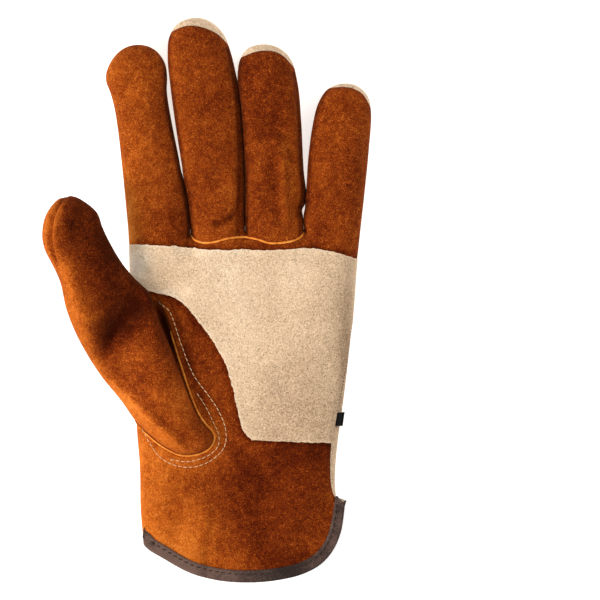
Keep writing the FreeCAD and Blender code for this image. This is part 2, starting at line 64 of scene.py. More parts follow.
# ---- the cutting plan
# The outline of each finger, from its root on the thumb side, round the tip and back down.
FINGERS = {
    "index": [
        (-37.3, 36), (-39.7, 60.5), (-41.9, 80), (-43.6, 90.5), (-45.4, 97.3), (-47.4, 102.6),
        (-47.2, 107.4), (-43.6, 114.4), (-38, 118.9), (-31, 120), (-24.4, 117.6), (-19.8, 111.4),
        (-18.8, 105), (-18.9, 98), (-16.5, 83), (-13.3, 67), (-12.1, 60.5), (-10.7, 55),
        (-9.5, 49), (-8.05, 38), (-7.95, 31.6),
    ],
    "middle": [
        (-7.65, 31.6), (-7.7, 38), (-9.15, 49), (-10.35, 55), (-11.35, 60.5), (-14.9, 83),
        (-17.4, 102), (-18.5, 114), (-17.7, 123.6), (-13.8, 129.8), (-6, 132.7), (1.6, 131),
        (7.8, 125), (11, 117), (14.1, 103.5), (15.9, 90), (17.4, 66), (17.75, 42), (17.7, 33.2),
    ],
    "ring": [
        (18.0, 33.2), (18.05, 42), (17.7, 66), (16.2, 90), (14.5, 104), (15.4, 112.6),
        (19.7, 118.4), (27, 120.2), (33.8, 118.6), (39.4, 113.2), (42.6, 102), (44.3, 84),
        (45.4, 62), (46.4, 51.5), (46.05, 45.6), (44.7, 42.5), (45.1, 39.4), (45.3, 34),
    ],
    "little": [
        (45.55, 34), (45.4, 39.4), (45.9, 42.5), (46.3, 45.6), (46.75, 51.5), (47.4, 65),
        (49.6, 82), (52.3, 92.5), (56.6, 98.9), (63.3, 101.7), (70.4, 100.7), (75.5, 95.8),
        (77.1, 88.5), (76.1, 71), (73.8, 48), (72.0, 32),
    ],
}
RIGHT_SIDE = [
    (70.2, 14), (68.9, -4), (66.7, -26), (64.3, -46), (61.8, -64), (60.4, -78), (60.2, -87),
    (60.6, -92.2),
]
# The hem, from the vent round to the fold on the thumb side.
HEM = [
    (63.9, -94.6), (63.7, -101), (62.3, -109), (58.9, -117), (53.4, -123.4), (45.5, -127.8),
    (33, -130.8), (18.9, -131.9), (5, -130.8), (-7.5, -127.4), (-19, -121.3), (-29.3, -114.3),
]
LEFT_SIDE = [
    (-30.4, -109), (-31.3, -98), (-31.7, -78), (-33, -62), (-34.6, -36), (-36, -4), (-36.5, 22),
]
ROOT_CUT = 28.9  # the panels of the fingers start here, below the bends
CUFF_CUT = -79.5
MIDDLE_CUT = {"index": 50.5, "middle": 54.0, "ring": 52.0, "little": 47.0}
CROTCHES = [(-7.8, 30.4), (17.8, 32.0), (45.4, 32.6)]
TWO_FINGER_SEAM = [
    CROTCHES[0], (-5.7, 28.3), (-1.2, 26.8), (4, 27.3), (9.5, 28.8), (17.6, 29.4), (23.5, 28.5),
    (29, 26.8), (35, 26.8), (41, 27.9), (44.3, 29.6), CROTCHES[2],
]
# Where the beige back turns over each fingertip, and along the little-finger side.
TIP_SEAMS = {
    "index": [(-30.5, 121.5), (-27.0, 119.0), (-23.7, 116.8), (-20.8, 113.0), (-19.2, 108.5),
              (-17.6, 103.5)],
    "middle": [(-20, 122), (-17, 125.5), (-12, 128.4), (-6, 129), (0.4, 127.5), (5.8, 124.8),
               (9.0, 121.2), (12.4, 115.5)],
    "ring": [(13, 111.8), (16.6, 114.2), (20, 115.9), (24, 117.1), (28.5, 117.4), (32.8, 116.8),
             (36.3, 114.8), (39.2, 111.6), (43, 106)],
    "little": [(54.5, 98.6), (60, 100), (64.5, 100.4), (69, 99.6), (72.9, 97.4), (75.4, 93.8),
               (78, 87)],
}
SIDE_SEAM = [
    (70.5, -2), (67.6, -14), (65.3, -30), (62.4, -46), (59.5, -61), (58.4, -74), (58.7, -86),
    (60.2, -92.6), (64, -96.5),
]
# The strip between two fingers shows this far in from the gap: at the root, half way and tip.
SNUG = (1.0, 1.0, 0.9)
STRIPS = {
    ("index", "right"): SNUG,
    ("middle", "left"): SNUG,
    ("middle", "right"): (3.4, 2.0, 1.0),
    ("ring", "left"): SNUG,
    ("ring", "right"): (1.6, 1.3, 0.9),
    ("little", "left"): SNUG,
}
PATCH = [
    (-42, 26.1), (-22, 25.5), (-7.5, 24.0), (12, 23.3), (30, 23.3), (46, 24.0), (58, 22.7),
    (75, 18.0), (75, -67.2), (52, -66.9), (36, -66.3), (21.3, -65.5), (17.2, -61.4),
    (15.2, -55), (12.5, -43), (9.4, -31.5), (4.6, -22), (-1.6, -12.8), (-8, -5), (-14, 0.4),
    (-24.5, 3.4), (-42, 6.5),
]
THUMB = [
    (-62, 48.4), (-56.2, 45.6), (-50.8, 40.6), (-48.4, 34), (-44.8, 26.4), (-38.6, 16.2),
    (-32, 8.6), (-26.6, 3.4), (-24.4, -3), (-22.4, -9), (-17.8, -20), (-13.2, -32),
    (-9.0, -43), (-4.9, -53), (-1.8, -58.2), (1.2, -61.2), (3.0, -64.6), (0.9, -69.2),
    (-4.3, -71.9), (-11.9, -72.3), (-20.6, -68.1), (-28.5, -61.6), (-33.5, -57), (-40.2, -47.6),
    (-50.2, -35), (-59.4, -18.8), (-65.2, -4.4), (-68.0, 8), (-71.4, 16), (-75.3, 23.8),
    (-76.4, 31.2), (-74.4, 40.2), (-68.8, 46.9),
]
THUMB_SEAM = [
    (-63.5, 51), (-66.3, 47.2), (-69.4, 42.4), (-71.3, 36.5), (-71.9, 30), (-71.4, 23.8),
    (-69.8, 18.5), (-68.2, 14),
]
FOOT_EDGE = [
    (-21.6, -1), (-18.6, -8.5), (-15.0, -20), (-11.3, -31.8), (-7.6, -43), (-3.6, -53),
    (-0.4, -58.0), (2.4, -61.0), (3.8, -64.6), (1.5, -69.5), (-4, -72.4), (-12, -72.8),
    (-20.9, -68.6), (-29.6, -61.6),
]
OUTER_ROW = [
    (-22.9, -0.4), (-17.4, -5.4), (-15.2, -11), (-12.3, -20), (-6.3, -35), (0.9, -44.8),
    (5.6, -52), (8.8, -60.5), (8.4, -68.6), (2.6, -74.8), (-6.5, -78.3), (-15.5, -77.2),
    (-22, -73.4), (-26.6, -66.9), (-30.3, -60.2),
]
INNER_ROW = [
    (-4.8, -43.5), (-0.8, -49.5), (2.9, -57), (5.6, -63.2), (5.3, -68.6),
    (0, -73.2), (-9, -75.7), (-17.3, -74.6),
]

# ---- the thumb's frame
THUMB_ORIGIN = np.array([-27.3, -39.9, 19.0])
THUMB_YAW, THUMB_PITCH, THUMB_ROLL = (math.radians(turn) for turn in (26.0, 8.0, 18.0))
ALONG = np.array([-math.sin(THUMB_YAW), math.cos(THUMB_YAW)])
ACROSS = np.array([math.cos(THUMB_YAW), math.sin(THUMB_YAW)])
THUMB_CUTS = (38.5, 62.5)  # where its panels are parted, along the thumb


def thumb_point(reach):
    """The point on the thumb's own middle line, this far along it."""
    flat = THUMB_ORIGIN[:2] + ALONG * reach * math.cos(THUMB_PITCH)
    return np.array([*flat, THUMB_ORIGIN[2] + reach * math.sin(THUMB_PITCH)])


# ---- curves and polygons
def unit(vectors):
    """The same vectors with length one."""
    vectors = np.asarray(vectors, float)
    return vectors / np.maximum(np.linalg.norm(vectors, axis=-1, keepdims=True), 1e-12)


def between(a, b, t, low, high):
    """a where t is low, b where t is high, and on the straight line beyond and between."""
    return ((high - t) * a + (t - low) * b) / (high - low)


def spline(points, step, closed=False):
    """Points every step along a smooth curve through the given ones."""
    p = np.array(points, float)
    before, after = (p[-1], p[:2]) if closed else (2 * p[0] - p[1], 2 * p[-1] - p[-2])
    p = np.vstack([before, p, after])
    out = []
    for a, b, c, d in zip(p, p[1:], p[2:], p[3:]):
        t1 = np.linalg.norm(b - a) ** 0.5
        t2 = t1 + np.linalg.norm(c - b) ** 0.5
        t3 = t2 + np.linalg.norm(d - c) ** 0.5
        t = np.linspace(t1, t2, 24, endpoint=False)[:, None]
        middle = between(b, c, t, t1, t2)
        first = between(between(a, b, t, 0, t1), middle, t, 0, t2)
        out.append(between(first, between(middle, between(c, d, t, t2, t3), t, t1, t3), t, t1, t2))
    out.append(p[-2:-1])
    return resample(np.vstack(out), step)


def resample(line, step):
    """The same line with points at an even spacing near step."""
    gaps = np.linalg.norm(np.diff(line, axis=0), axis=1)
    where = np.concatenate([[0], np.cumsum(gaps)])
    at = np.linspace(0, where[-1], max(2, int(round(where[-1] / step)) + 1))
    return np.stack([np.interp(at, where, values) for values in np.transpose(line)], axis=1)


def straight(a, b):
    """A straight line from a to b."""
    return resample(np.array([a, b], float), 1.3)


def left_of(line, closed=False):
    """The unit direction to the left of a line, at each of its points."""
    if closed:
        run = np.roll(line, -1, axis=0) - np.roll(line, 1, axis=0)
    else:
        run = np.gradient(line, axis=0)
    return unit(np.stack([-run[:, 1], run[:, 0]], axis=1))


def inside(polygon, points):
    """Which points lie inside a closed polygon."""
    x, y = points[:, 0], points[:, 1]
    found = np.zeros(len(points), bool)
    for (x1, y1), (x2, y2) in zip(polygon, np.roll(polygon, -1, axis=0)):
        if y1 != y2:
            crosses = (y1 > y) != (y2 > y)
            found ^= crosses & (x < (x2 - x1) * (y - y1) / (y2 - y1) + x1)
    return found


class Distance:
    """Distance from points to lines of short segments."""

    def __init__(self, *lines):
        self.starts = np.vstack([line[:-1] for line in lines])
        self.runs = np.vstack([np.diff(line, axis=0) for line in lines])
        self.tree = KDTree(len(self.runs))
        for k, (x, y) in enumerate(self.starts + self.runs / 2):
            self.tree.insert((x, y, 0), k)
        self.tree.balance()

    def nearest(self, points):
        """For each point: its distance, the nearest point on the line and that segment."""
        near = np.array([[hit[1] for hit in self.tree.find_n((x, y, 0), 3)] for x, y in points])
        start, run = self.starts[near], self.runs[near]
        share = ((points[:, None] - start) * run).sum(axis=2)
        share = share / np.maximum((run**2).sum(axis=2), 1e-12)
        foot = start + np.clip(share, 0, 1)[..., None] * run
        away = np.linalg.norm(points[:, None] - foot, axis=2)
        best = (np.arange(len(points)), away.argmin(axis=1))
        return away[best], foot[best], near[best]

    def __call__(self, points):
        return self.nearest(points)[0]


def ease(x, low, high):
    """0 below low, 1 above high, smooth between. low may be the larger."""
    t = np.clip((np.asarray(x, float) - low) / (high - low), 0, 1)
    return t * t * (3 - 2 * t)


def bulge(t):
    """A quarter ellipse: steep at 0, flat from 1 on."""
    return np.sqrt(np.maximum(0, 1 - (1 - np.clip(t, 0, 1)) ** 2))


def hill(x, wide, centre=0.0):
    """1 at the centre, fading out over this width on both sides."""
    return np.exp(-(((x - centre) / wide) ** 2))


def marks(points, table):
    """The sum of soft ovals: each is a centre, its half widths and its height."""
    x, y = points[:, 0], points[:, 1]
    ovals = (high * hill(x, wide, cx) * hill(y, tall, cy) for cx, cy, wide, tall, high in table)
    return sum(ovals)


def soft(points, size, seed=0.0):
    """Smooth noise from -1 to 1 at points in millimetres, with features about size wide."""
    spots = (Vector((x / size + seed, y / size - seed, seed * 1.7)) for x, y in points)
    return np.array([noise.noise(spot) for spot in spots])


def moving_mean(values, reach):
    """Each value's mean with its neighbours, this many on both sides."""
    count = 2 * reach + 1
    return np.convolve(np.pad(values, reach, mode="edge"), np.ones(count) / count, "valid")


def ragged(line, amount):
    """The same line with the small unevenness of a cut leather edge."""
    wander = 0.6 * soft(line, 2.3, 4.0) + 0.6 * soft(line, 0.9, 7.0)
    return line + left_of(line) * (amount * wander)[:, None]


# ---- cutting plan to mesh
def plan_mesh(outline, seams, cuts):
    """Triangles over a closed outline, with edges along every seam and cut.

    Returns the flat points, the triangles and a mark on the points of the outline itself.
    """
    border = Distance(np.vstack([outline, outline[:1]]))
    lines = seams + cuts
    edges = [(k, (k + 1) % len(outline)) for k in range(len(outline))]
    start = len(outline)
    for line in lines:
        edges += [(k, k + 1) for k in range(start, start + len(line) - 1)]
        start += len(line)

    # Points wanted beside the seams, in rings inside the outline and on a grid, with their room.
    wanted = [
        (line + left_of(line) * away * sign, 0.55)
        for line in seams for away in (0.75, 1.7) for sign in (-1, 1)
    ]
    inward = left_of(outline, closed=True)
    if not inside(outline, outline[:1] + inward[:1] * 0.05)[0]:
        inward = -inward
    for last, ring in zip((0.0, *RINGS), RINGS):
        moved = outline + inward * ring
        wanted.append((moved[border(moved) > ring * 0.93], min(1.0, 0.8 * (ring - last))))
    low, high = outline.min(axis=0), outline.max(axis=0)
    grid = np.array([
        (x, y)
        for k, y in enumerate(np.arange(low[1], high[1], GRID * 0.866))
        for x in np.arange(low[0] + (k % 2) * GRID / 2, high[0], GRID)
    ])
    grid = grid[inside(outline, grid)]
    wanted.append((grid[border(grid) > RINGS[-1] + 0.6], 0.8 * GRID))
    spots = np.vstack([place for place, _ in wanted])
    room = np.concatenate([np.full(len(place), space) for place, space in wanted])
    free = inside(outline, spots) & (border(spots) > 0.25) & (Distance(*lines)(spots) > 0.5)
    kept, cells = [], {}
    for p, r in zip(spots[free], room[free]):
        i, j = int(p[0] // 2), int(p[1] // 2)
        around = [q for a in (-1, 0, 1) for b in (-1, 0, 1) for q in cells.get((i + a, j + b), ())]
        if all((q[0] - p[0]) ** 2 + (q[1] - p[1]) ** 2 >= r * r for q in around):
            cells.setdefault((i, j), []).append(p)
            kept.append(p)
    points = np.vstack([outline, *lines, kept])
    flat, _, faces, *_ = delaunay_2d_cdt([Vector(p) for p in points], edges, [], 0, 0.01, False)
    flat = np.array([tuple(p) for p in flat])
    faces = np.array([face for face in faces if len(face) == 3])
    a, b, c = (flat[faces[:, k]] for k in range(3))
    area = np.cross(b - a, c - a)
    faces[area < 0] = faces[area < 0][:, ::-1]
    faces = faces[inside(outline, flat[faces].mean(axis=1)) & (np.abs(area) > 1e-4)]
    return flat, faces, border(flat) < 0.02


def edges_of(faces):
    """The three sides of every triangle."""
    return np.vstack([faces[:, [0, 1]], faces[:, [1, 2]], faces[:, [2, 0]]])


def relax(values, faces, rounds, hold=False):
    """Averages values over the mesh, except where hold is true."""
    edges = edges_of(faces)
    edges = np.unique(np.vstack([edges, edges[:, ::-1]]), axis=0)
    count = len(values)
    degree = np.maximum(np.bincount(edges[:, 0], minlength=count), 1)
    for _ in range(rounds):
        total = np.bincount(edges[:, 0], weights=values[edges[:, 1]], minlength=count)
        values = np.where(hold, values, 0.5 * values + 0.5 * total / degree)
    return values


def vertex_normals(points, faces):
    """Normals at the points, where each face counts by its angle there."""
    out = np.zeros_like(points)
    for k in range(3):
        p, q, r = (points[faces[:, (k + j) % 3]] for j in range(3))
        u, v = unit(q - p), unit(r - p)
        angle = np.arccos(np.clip((u * v).sum(axis=1), -1, 1))
        np.add.at(out, faces[:, k], unit(np.cross(q - p, r - p)) * angle[:, None])
    return unit(out)


class Envelope:
    """A top and a bottom sheet over one plan, joined where the outline is a seam or fold."""

    def __init__(self, flat, faces, top, bottom, joined):
        faces = faces[~joined[faces].all(axis=1)]
        below = np.arange(len(flat)) + np.where(joined, 0, len(flat))
        self.points = np.vstack([np.column_stack([flat, top]), np.column_stack([flat, bottom])])
        self.faces = np.vstack([faces, below[faces][:, ::-1]])
        self.is_top = np.arange(len(self.faces)) < len(faces)
        self.middle = flat[np.vstack([faces, faces])].mean(axis=1)

    def push(self, amounts):
        """Moves every point along its normal. Trims can be laid on the sheets from then on."""
        moves = vertex_normals(self.points, self.faces) * amounts[:, None]
        self.points = self.points + moves
        self.normals = vertex_normals(self.points, self.faces)
        points = [Vector(p) for p in self.points]
        self.sheets = self.faces[self.is_top], self.faces[~self.is_top]
        self.trees = [BVHTree.FromPolygons(points, sheet.tolist()) for sheet in self.sheets]

    def on(self, x, y, lift=0.0, below=False):
        """The point and outward normal of a sheet above or below (x, y)."""
        start, way, likely = (-50.0, 1.0, 2.0) if below else (120.0, -1.0, 14.0)
        tree = self.trees[below]
        hit, _, face, _ = tree.ray_cast(Vector((x, y, start)), Vector((0, 0, way)))
        if hit is None:
            hit, _, face, _ = tree.find_nearest(Vector((x, y, likely)))
        corners = self.sheets[below][face]
        gap = np.linalg.norm(self.points[corners] - np.array(hit), axis=1) + 1e-3
        normal = unit((self.normals[corners] / gap[:, None]).sum(axis=0))
        return np.array(hit) + normal * lift, normal


# ---- meshes
def new_object(name, data, place=(0, 0, 0)):
    made = bpy.data.objects.new(name, data)
    bpy.context.scene.collection.objects.link(made)
    made.location = place
    return made


def make_mesh(name, points, faces, material, tone=None, smooth=True):
    """A mesh from millimetres. It keeps its rest place and its tone for the material."""
    points = np.asarray(points) * MM
    mesh = bpy.data.meshes.new(name)
    mesh.from_pydata(points.tolist(), [], [list(map(int, face)) for face in faces])
    mesh.update()
    mesh.polygons.foreach_set("use_smooth", [smooth] * len(mesh.polygons))
    kept = mesh.attributes.new("rest", "FLOAT_VECTOR", "POINT")
    kept.data.foreach_set("vector", points.astype(np.float32).ravel())
    if tone is not None:
        kept = mesh.attributes.new("tone", "FLOAT", "POINT")
        kept.data.foreach_set("value", np.asarray(tone, np.float32))
    mesh.materials.append(material)
    return new_object(name, mesh)


def panel(name, envelope, chosen, material, tone, lift=0.0, thickness=LEATHER):
    """A closed leather panel with real thickness, from the chosen faces of an envelope."""
    used, faces = np.unique(envelope.faces[chosen], return_inverse=True)
    faces = faces.reshape(-1, 3)
    count, normals = len(used), envelope.normals[used]
    lift = np.broadcast_to(lift, len(envelope.points))[used][:, None]
    outer = envelope.points[used] + normals * lift
    points = np.vstack([outer, outer - normals * thickness])
    edges = edges_of(faces).tolist()
    seen = {tuple(edge) for edge in edges}
    rim = np.array([(b, a, a + count, b + count) for a, b in edges if (b, a) not in seen])
    corners = points[rim]
    sides = unit(np.cross(corners[:, 1] - corners[:, 0], corners[:, 2] - corners[:, 0]))
    inner = faces[:, ::-1]
    loops = np.vstack([normals[faces.ravel()], -normals[inner.ravel()], np.repeat(sides, 4, axis=0)])
    shell = [*faces, *(inner + count), *rim]
    obj = make_mesh(name, points, shell, material, np.tile(tone[used], 2))
    obj.data.normals_split_custom_set(loops.tolist())
    return obj


def loft(name, bodies, material, table=None):
    """Closed bodies, each a list of rings of points. table holds lighter and darker ovals."""
    points, quads = [], []
    for rings in bodies:
        rings = np.array(rings)
        rows, count = rings.shape[:2]
        at = len(points) + np.arange(rows * count).reshape(rows, count)
        after = np.roll(at, -1, axis=1)
        points += list(rings.reshape(-1, 3))
        quads += np.stack([at[:-1], after[:-1], after[1:], at[1:]], axis=-1).reshape(-1, 4).tolist()
        for ring in (at[0][::-1], at[-1]):
            quads += [(ring[j], ring[j + 1], ring[-2 - j], ring[-1 - j]) for j in range(count // 2 - 1)]
    points, quads = np.array(points), np.array(quads)
    a, b, c, d = (points[quads[:, k]] for k in range(4))
    if (a * (np.cross(b, c) + np.cross(c, d))).sum() < 0:  # inside out
        quads = quads[:, ::-1]
    tone = marks(points, table) if table else None
    return make_mesh(name, points, quads, material, tone)


def ring_of(centre, side, lift, count):
    """Points round a centre, on the ellipse that side and lift span."""
    turn = 2 * math.pi * np.arange(count)[:, None] / count
    return centre + side * np.cos(turn) + lift * np.sin(turn)


def add(obj, nodes, body="hand", bend=None):
    """Hides the CAD nodes a piece stands for and hangs it on the body it moves with; a piece given a
    bend is only baked where it lies.
    """
    if nodes:
        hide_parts(*nodes)
    if bend:
        first, second, start, end = bend
        start, end = (tuple(np.array(place) * MM) for place in (start, end))
        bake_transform(obj)
    else:
        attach(obj, body)


# ---- materials
class Nodes:
    """Short names for building a material's nodes."""

    def __init__(self, name):
        self.material = bpy.data.materials.new(name)
        self.material.use_nodes = True
        self.tree = self.material.node_tree
        self.rest = self.add("Attribute", attribute_name="rest").outputs["Vector"]

    def put(self, socket, value):
        """Links a socket or sets it. Three numbers are an opaque colour."""
        if isinstance(value, bpy.types.NodeSocket):
            self.tree.links.new(value, socket)
        else:
            socket.default_value = (*value, 1.0) if isinstance(value, tuple) else value

    def add(self, kind, inputs=None, **settings):
        made = self.tree.nodes.new("ShaderNode" + kind)
        for key, value in settings.items():
            setattr(made, key, value)
        for key, value in (inputs or {}).items():
            self.put(made.inputs[key], value)
        return made

    def tone(self):
        return self.add("Attribute", attribute_name="tone").outputs["Fac"]

    def noise(self, scale, detail, rough, twist=0.0):
        inputs = {"Vector": self.rest, "Scale": scale, "Detail": detail, "Roughness": rough}
        return self.add("TexNoise", inputs | {"Distortion": twist}).outputs["Fac"]

    def pebbles(self, scale):
        made = self.add("TexVoronoi", {"Vector": self.rest, "Scale": scale})
        return made.outputs["Distance"]

    def ramp(self, factor, *stops):
        made = self.add("ValToRGB", {"Fac": factor})
        ramp = made.color_ramp
        while len(ramp.elements) < len(stops):
            ramp.elements.new(0.5)
        for element, (where, colour) in zip(ramp.elements, stops):
            element.position = where
            element.color = (*colour, 1.0)
        return made.outputs["Color"]

    def grey(self, factor, low, high):
        """0 at low and 1 at high."""
        inputs = {"Value": factor, "From Min": low, "From Max": high}
        return self.add("MapRange", inputs).outputs["Result"]

    def math(self, kind, *values):
        return self.add("Math", dict(enumerate(values)), operation=kind).outputs[0]

    def weigh(self, a, share_a, b, share_b):
        return self.math("MULTIPLY_ADD", a, share_a, self.math("MULTIPLY", b, share_b))

    def mix(self, factor, a, b):
        return self.add("Mix", {0: factor, 6: a, 7: b}, data_type="RGBA").outputs[2]

    def layers(self, *rows):
        """The piece's tone and layers of noise: scale, detail, roughness, twist and weight."""
        mood = self.math("ADD", self.tone(), 0.5)
        for scale, detail, rough, twist, weight in rows:
            layer = self.math("SUBTRACT", self.noise(scale, detail, rough, twist), 0.5)
            mood = self.math("MULTIPLY_ADD", layer, weight, mood)
        return mood

    def finish(self, colour, height=None, depth=0.0, strength=0.0, **sockets):
        shader = self.tree.nodes["Principled BSDF"]
        self.put(shader.inputs["Base Color"], colour)
        if height is not None:
            bump = self.add("Bump", {"Strength": strength, "Distance": depth, "Height": height})
            self.put(shader.inputs["Normal"], bump.outputs["Normal"])
        for key, value in sockets.items():
            self.put(shader.inputs[key.replace("_", " ")], value)
        return self.material


def suede(name, *shades):
    """Napped split leather: soft handling marks, curled tufts and pale fibre ends."""
    n = Nodes(name)
    mood = n.layers(
        (60.0, 3.0, 0.5, 0.5, 0.30), (230.0, 3.0, 0.55, 0.9, 0.40), (850.0, 3.0, 0.6, 1.8, 0.82),
        (2300.0, 2.0, 0.6, 0.8, 0.85),
    )
    tufts, fibres = n.noise(850.0, 3.0, 0.6, 1.8), n.noise(2300.0, 2.0, 0.6, 0.8)
    stops = list(zip((0.0, 0.25, 0.5, 0.75, 1.0), shades))
    colour, lighter = n.ramp(mood, *stops), n.ramp(n.math("ADD", mood, 0.32), *stops)
    ends = n.grey(n.math("MULTIPLY_ADD", tufts, 0.4, fibres), 0.82, 0.92)
    colour = n.mix(n.math("MULTIPLY", ends, 0.7), colour, lighter)
    for scale, twist in ((330.0, 2.6), (520.0, 2.0)):
        curl = n.math("SUBTRACT", n.noise(scale, 1.0, 0.5, twist), 0.5)
        strand = n.grey(n.math("ABSOLUTE", curl), 0.026, 0.004)
        here = n.grey(n.noise(0.6 * scale + 60.0, 2.0, 0.5), 0.46, 0.58)
        strand = n.math("MULTIPLY", n.math("MULTIPLY", strand, here), 0.7)
        colour = n.mix(strand, colour, lighter)
    return n.finish(
        colour, n.weigh(tufts, 1.0, fibres, 0.7), 0.0008, 0.8, Roughness=0.95,
        Specular_IOR_Level=0.04, Sheen_Weight=0.10, Sheen_Roughness=0.4,
        Sheen_Tint=(1.0, 0.40, 0.12),
    )


def split_leather(name):
    """Pale beige split: a short even nap with small dark pores."""
    n = Nodes(name)
    mood = n.layers(
        (45.0, 3.0, 0.5, 0.4, 0.30), (300.0, 3.0, 0.6, 0.6, 0.22), (1500.0, 3.0, 0.65, 0.8, 1.70),
        (2800.0, 2.0, 0.6, 0.6, 0.60),
    )
    colour = n.ramp(
        mood, (0.0, (0.30, 0.185, 0.105)), (0.25, (0.50, 0.34, 0.21)), (0.5, (0.74, 0.525, 0.34)),
        (0.75, (0.88, 0.67, 0.46)), (1.0, (1.0, 0.87, 0.69)),
    )
    pores, chosen = n.pebbles(700.0), n.noise(420.0, 2.0, 0.5)
    speck = n.math("MULTIPLY", n.grey(pores, 0.26, 0.12), n.grey(chosen, 0.5, 0.62))
    colour = n.mix(n.math("MULTIPLY", speck, 0.5), colour, (0.25, 0.15, 0.08))
    height = n.weigh(n.noise(1100.0, 3.0, 0.6, 1.0), 1.0, speck, -0.8)
    height = n.math("MULTIPLY_ADD", n.noise(300.0, 3.0, 0.6, 0.6), 0.8, height)
    return n.finish(
        colour, height, 0.0008, 0.8, Roughness=0.95, Specular_IOR_Level=0.06,
        Sheen_Weight=0.12, Sheen_Roughness=0.5, Sheen_Tint=(1.0, 0.9, 0.78),
    )


def cut_edge(name):
    """The bright raw edge of a folded welt, with ragged fibre."""
    n = Nodes(name)
    fibres, broad = n.noise(1500.0, 3.0, 0.6, 1.5), n.noise(240.0, 2.0, 0.5)
    colour = n.ramp(
        n.weigh(fibres, 0.6, broad, 0.4),
        (0.3, (0.42, 0.085, 0.006)), (0.5, (0.85, 0.26, 0.026)), (0.72, (1.0, 0.48, 0.11)),
    )
    return n.finish(colour, fibres, 0.0004, 0.6, Roughness=0.8, Specular_IOR_Level=0.25)


def bonded_tape(name):
    """Dark brown bonded tape with a fine pebble and paler rubbed high spots."""
    n = Nodes(name)
    pebble, fine = n.pebbles(1500.0), n.noise(1700.0, 3.0, 0.6)
    mood = n.weigh(fine, 0.5, n.noise(130.0, 3.0, 0.5), 0.5)
    # The tone brings in the tape's painted light and painted shade.
    mood = n.math("ADD", n.math("MULTIPLY_ADD", pebble, 0.25, mood), n.tone())
    colour = n.ramp(
        mood, (0.42, (0.020, 0.010, 0.008)), (0.58, (0.050, 0.028, 0.021)),
        (0.78, (0.130, 0.074, 0.056)),
    )
    height = n.weigh(pebble, 0.8, fine, 0.5)
    return n.finish(colour, height, 0.0003, 0.5, Roughness=0.75, Specular_IOR_Level=0.25)


def thread(name, low, high):
    """Twisted thread with slanted plies."""
    n = Nodes(name)
    plies = n.noise(3200.0, 2.0, 0.5)
    mood = n.weigh(plies, 0.6, n.noise(300.0, 2.0, 0.5), 0.4)
    return n.finish(n.ramp(mood, (0.32, low), (0.68, high)), plies, 0.0002, 0.5,
                    Roughness=0.8, Specular_IOR_Level=0.2)


def knitted(name, low, high, scale):
    """Ribbed woven tape."""
    n = Nodes(name)
    wave = {"Vector": n.rest, "Scale": scale, "Distortion": 0.6, "Detail": 1.0}
    ribs = n.add("TexWave", wave, wave_type="BANDS", bands_direction="X").outputs["Fac"]
    mood = n.weigh(ribs, 0.5, n.noise(2600.0, 2.0, 0.5), 0.5)
    return n.finish(n.ramp(mood, (0.25, low), (0.75, high)), ribs, 0.0003, 0.6,
                    Roughness=0.9, Specular_IOR_Level=0.15)


# Each material has the name of the finish that its pieces take.
BROWN = suede(
    "brown_suede", (0.045, 0.0045, 0.0006), (0.125, 0.0150, 0.0018), (0.285, 0.046, 0.0042),
    (0.560, 0.122, 0.0100), (0.820, 0.260, 0.0400),
)
BEIGE = split_leather("beige_split_leather")
EDGE = cut_edge("orange_raw_edge")
TAPE = bonded_tape("hem_tape")
WHITE = thread("white_thread", (0.74, 0.44, 0.19), (0.98, 0.76, 0.47))
DARK = thread("brown_thread", (0.010, 0.005, 0.004), (0.055, 0.030, 0.022))
PALE = thread("pale_thread", (0.40, 0.29, 0.19), (0.72, 0.57, 0.40))
ELASTIC = knitted("elastic", (0.52, 0.49, 0.43), (0.86, 0.83, 0.76), 900.0)
BLACK = knitted("black_tape", (0.002, 0.002, 0.002), (0.010, 0.009, 0.009), 1400.0)

# ---- the hand's outline and lines
WAIST = 8.6  # height of the side seams
LOW_SIDE, HIGH_SIDE = 6.8, 10.6  # fingers lie against each other with their sides staggered
ORDER = list(FINGERS)
finger_lines = {finger: spline(points, STEP) for finger, points in FINGERS.items()}
left_line = spline(LEFT_SIDE + FINGERS["index"][:2], STEP)
left_line = left_line[left_line[:, 1] < FINGERS["index"][0][1] - 0.6]
right_line = spline(FINGERS["little"][-2:] + RIGHT_SIDE, STEP)
right_line = right_line[right_line[:, 1] < FINGERS["little"][-1][1] - 0.6]
hem_line = spline(HEM, STEP)
stretches = [(left_line, 0, WAIST)]  # each with its finger's number and its seam's height
for number, line in enumerate(finger_lines.values()):
    tip = int(np.argmax(line[:, 1]))
    if number:
        stretches.append((np.array([CROTCHES[number - 1]]), -1, WAIST))
    stretches.append((line[:tip], number, HIGH_SIDE if number else WAIST))
    stretches.append((line[tip:], number, LOW_SIDE if number < 3 else WAIST))
stretches.append((right_line, 3, WAIST))
closed_part = np.vstack([line for line, _, _ in stretches])
owner = np.concatenate([np.full(len(line), number) for line, number, _ in stretches])
waist = np.concatenate([np.full(len(line), height) for line, _, height in stretches])
waist = moving_mean(waist, 6)
outline = np.vstack([closed_part, hem_line])

# How far each side swells to touch its neighbour, above the fingers' roots.
swell = np.zeros(len(closed_part))
for k, p in enumerate(closed_part):
    others = closed_part[(owner != owner[k]) & (owner >= 0)]
    space = np.linalg.norm(others - p, axis=1).min()
    if owner[k] >= 0 and space < 0.75 and p[1] > 31:
        swell[k] = min(space, 0.4) / 2
swell = moving_mean(swell, 1)

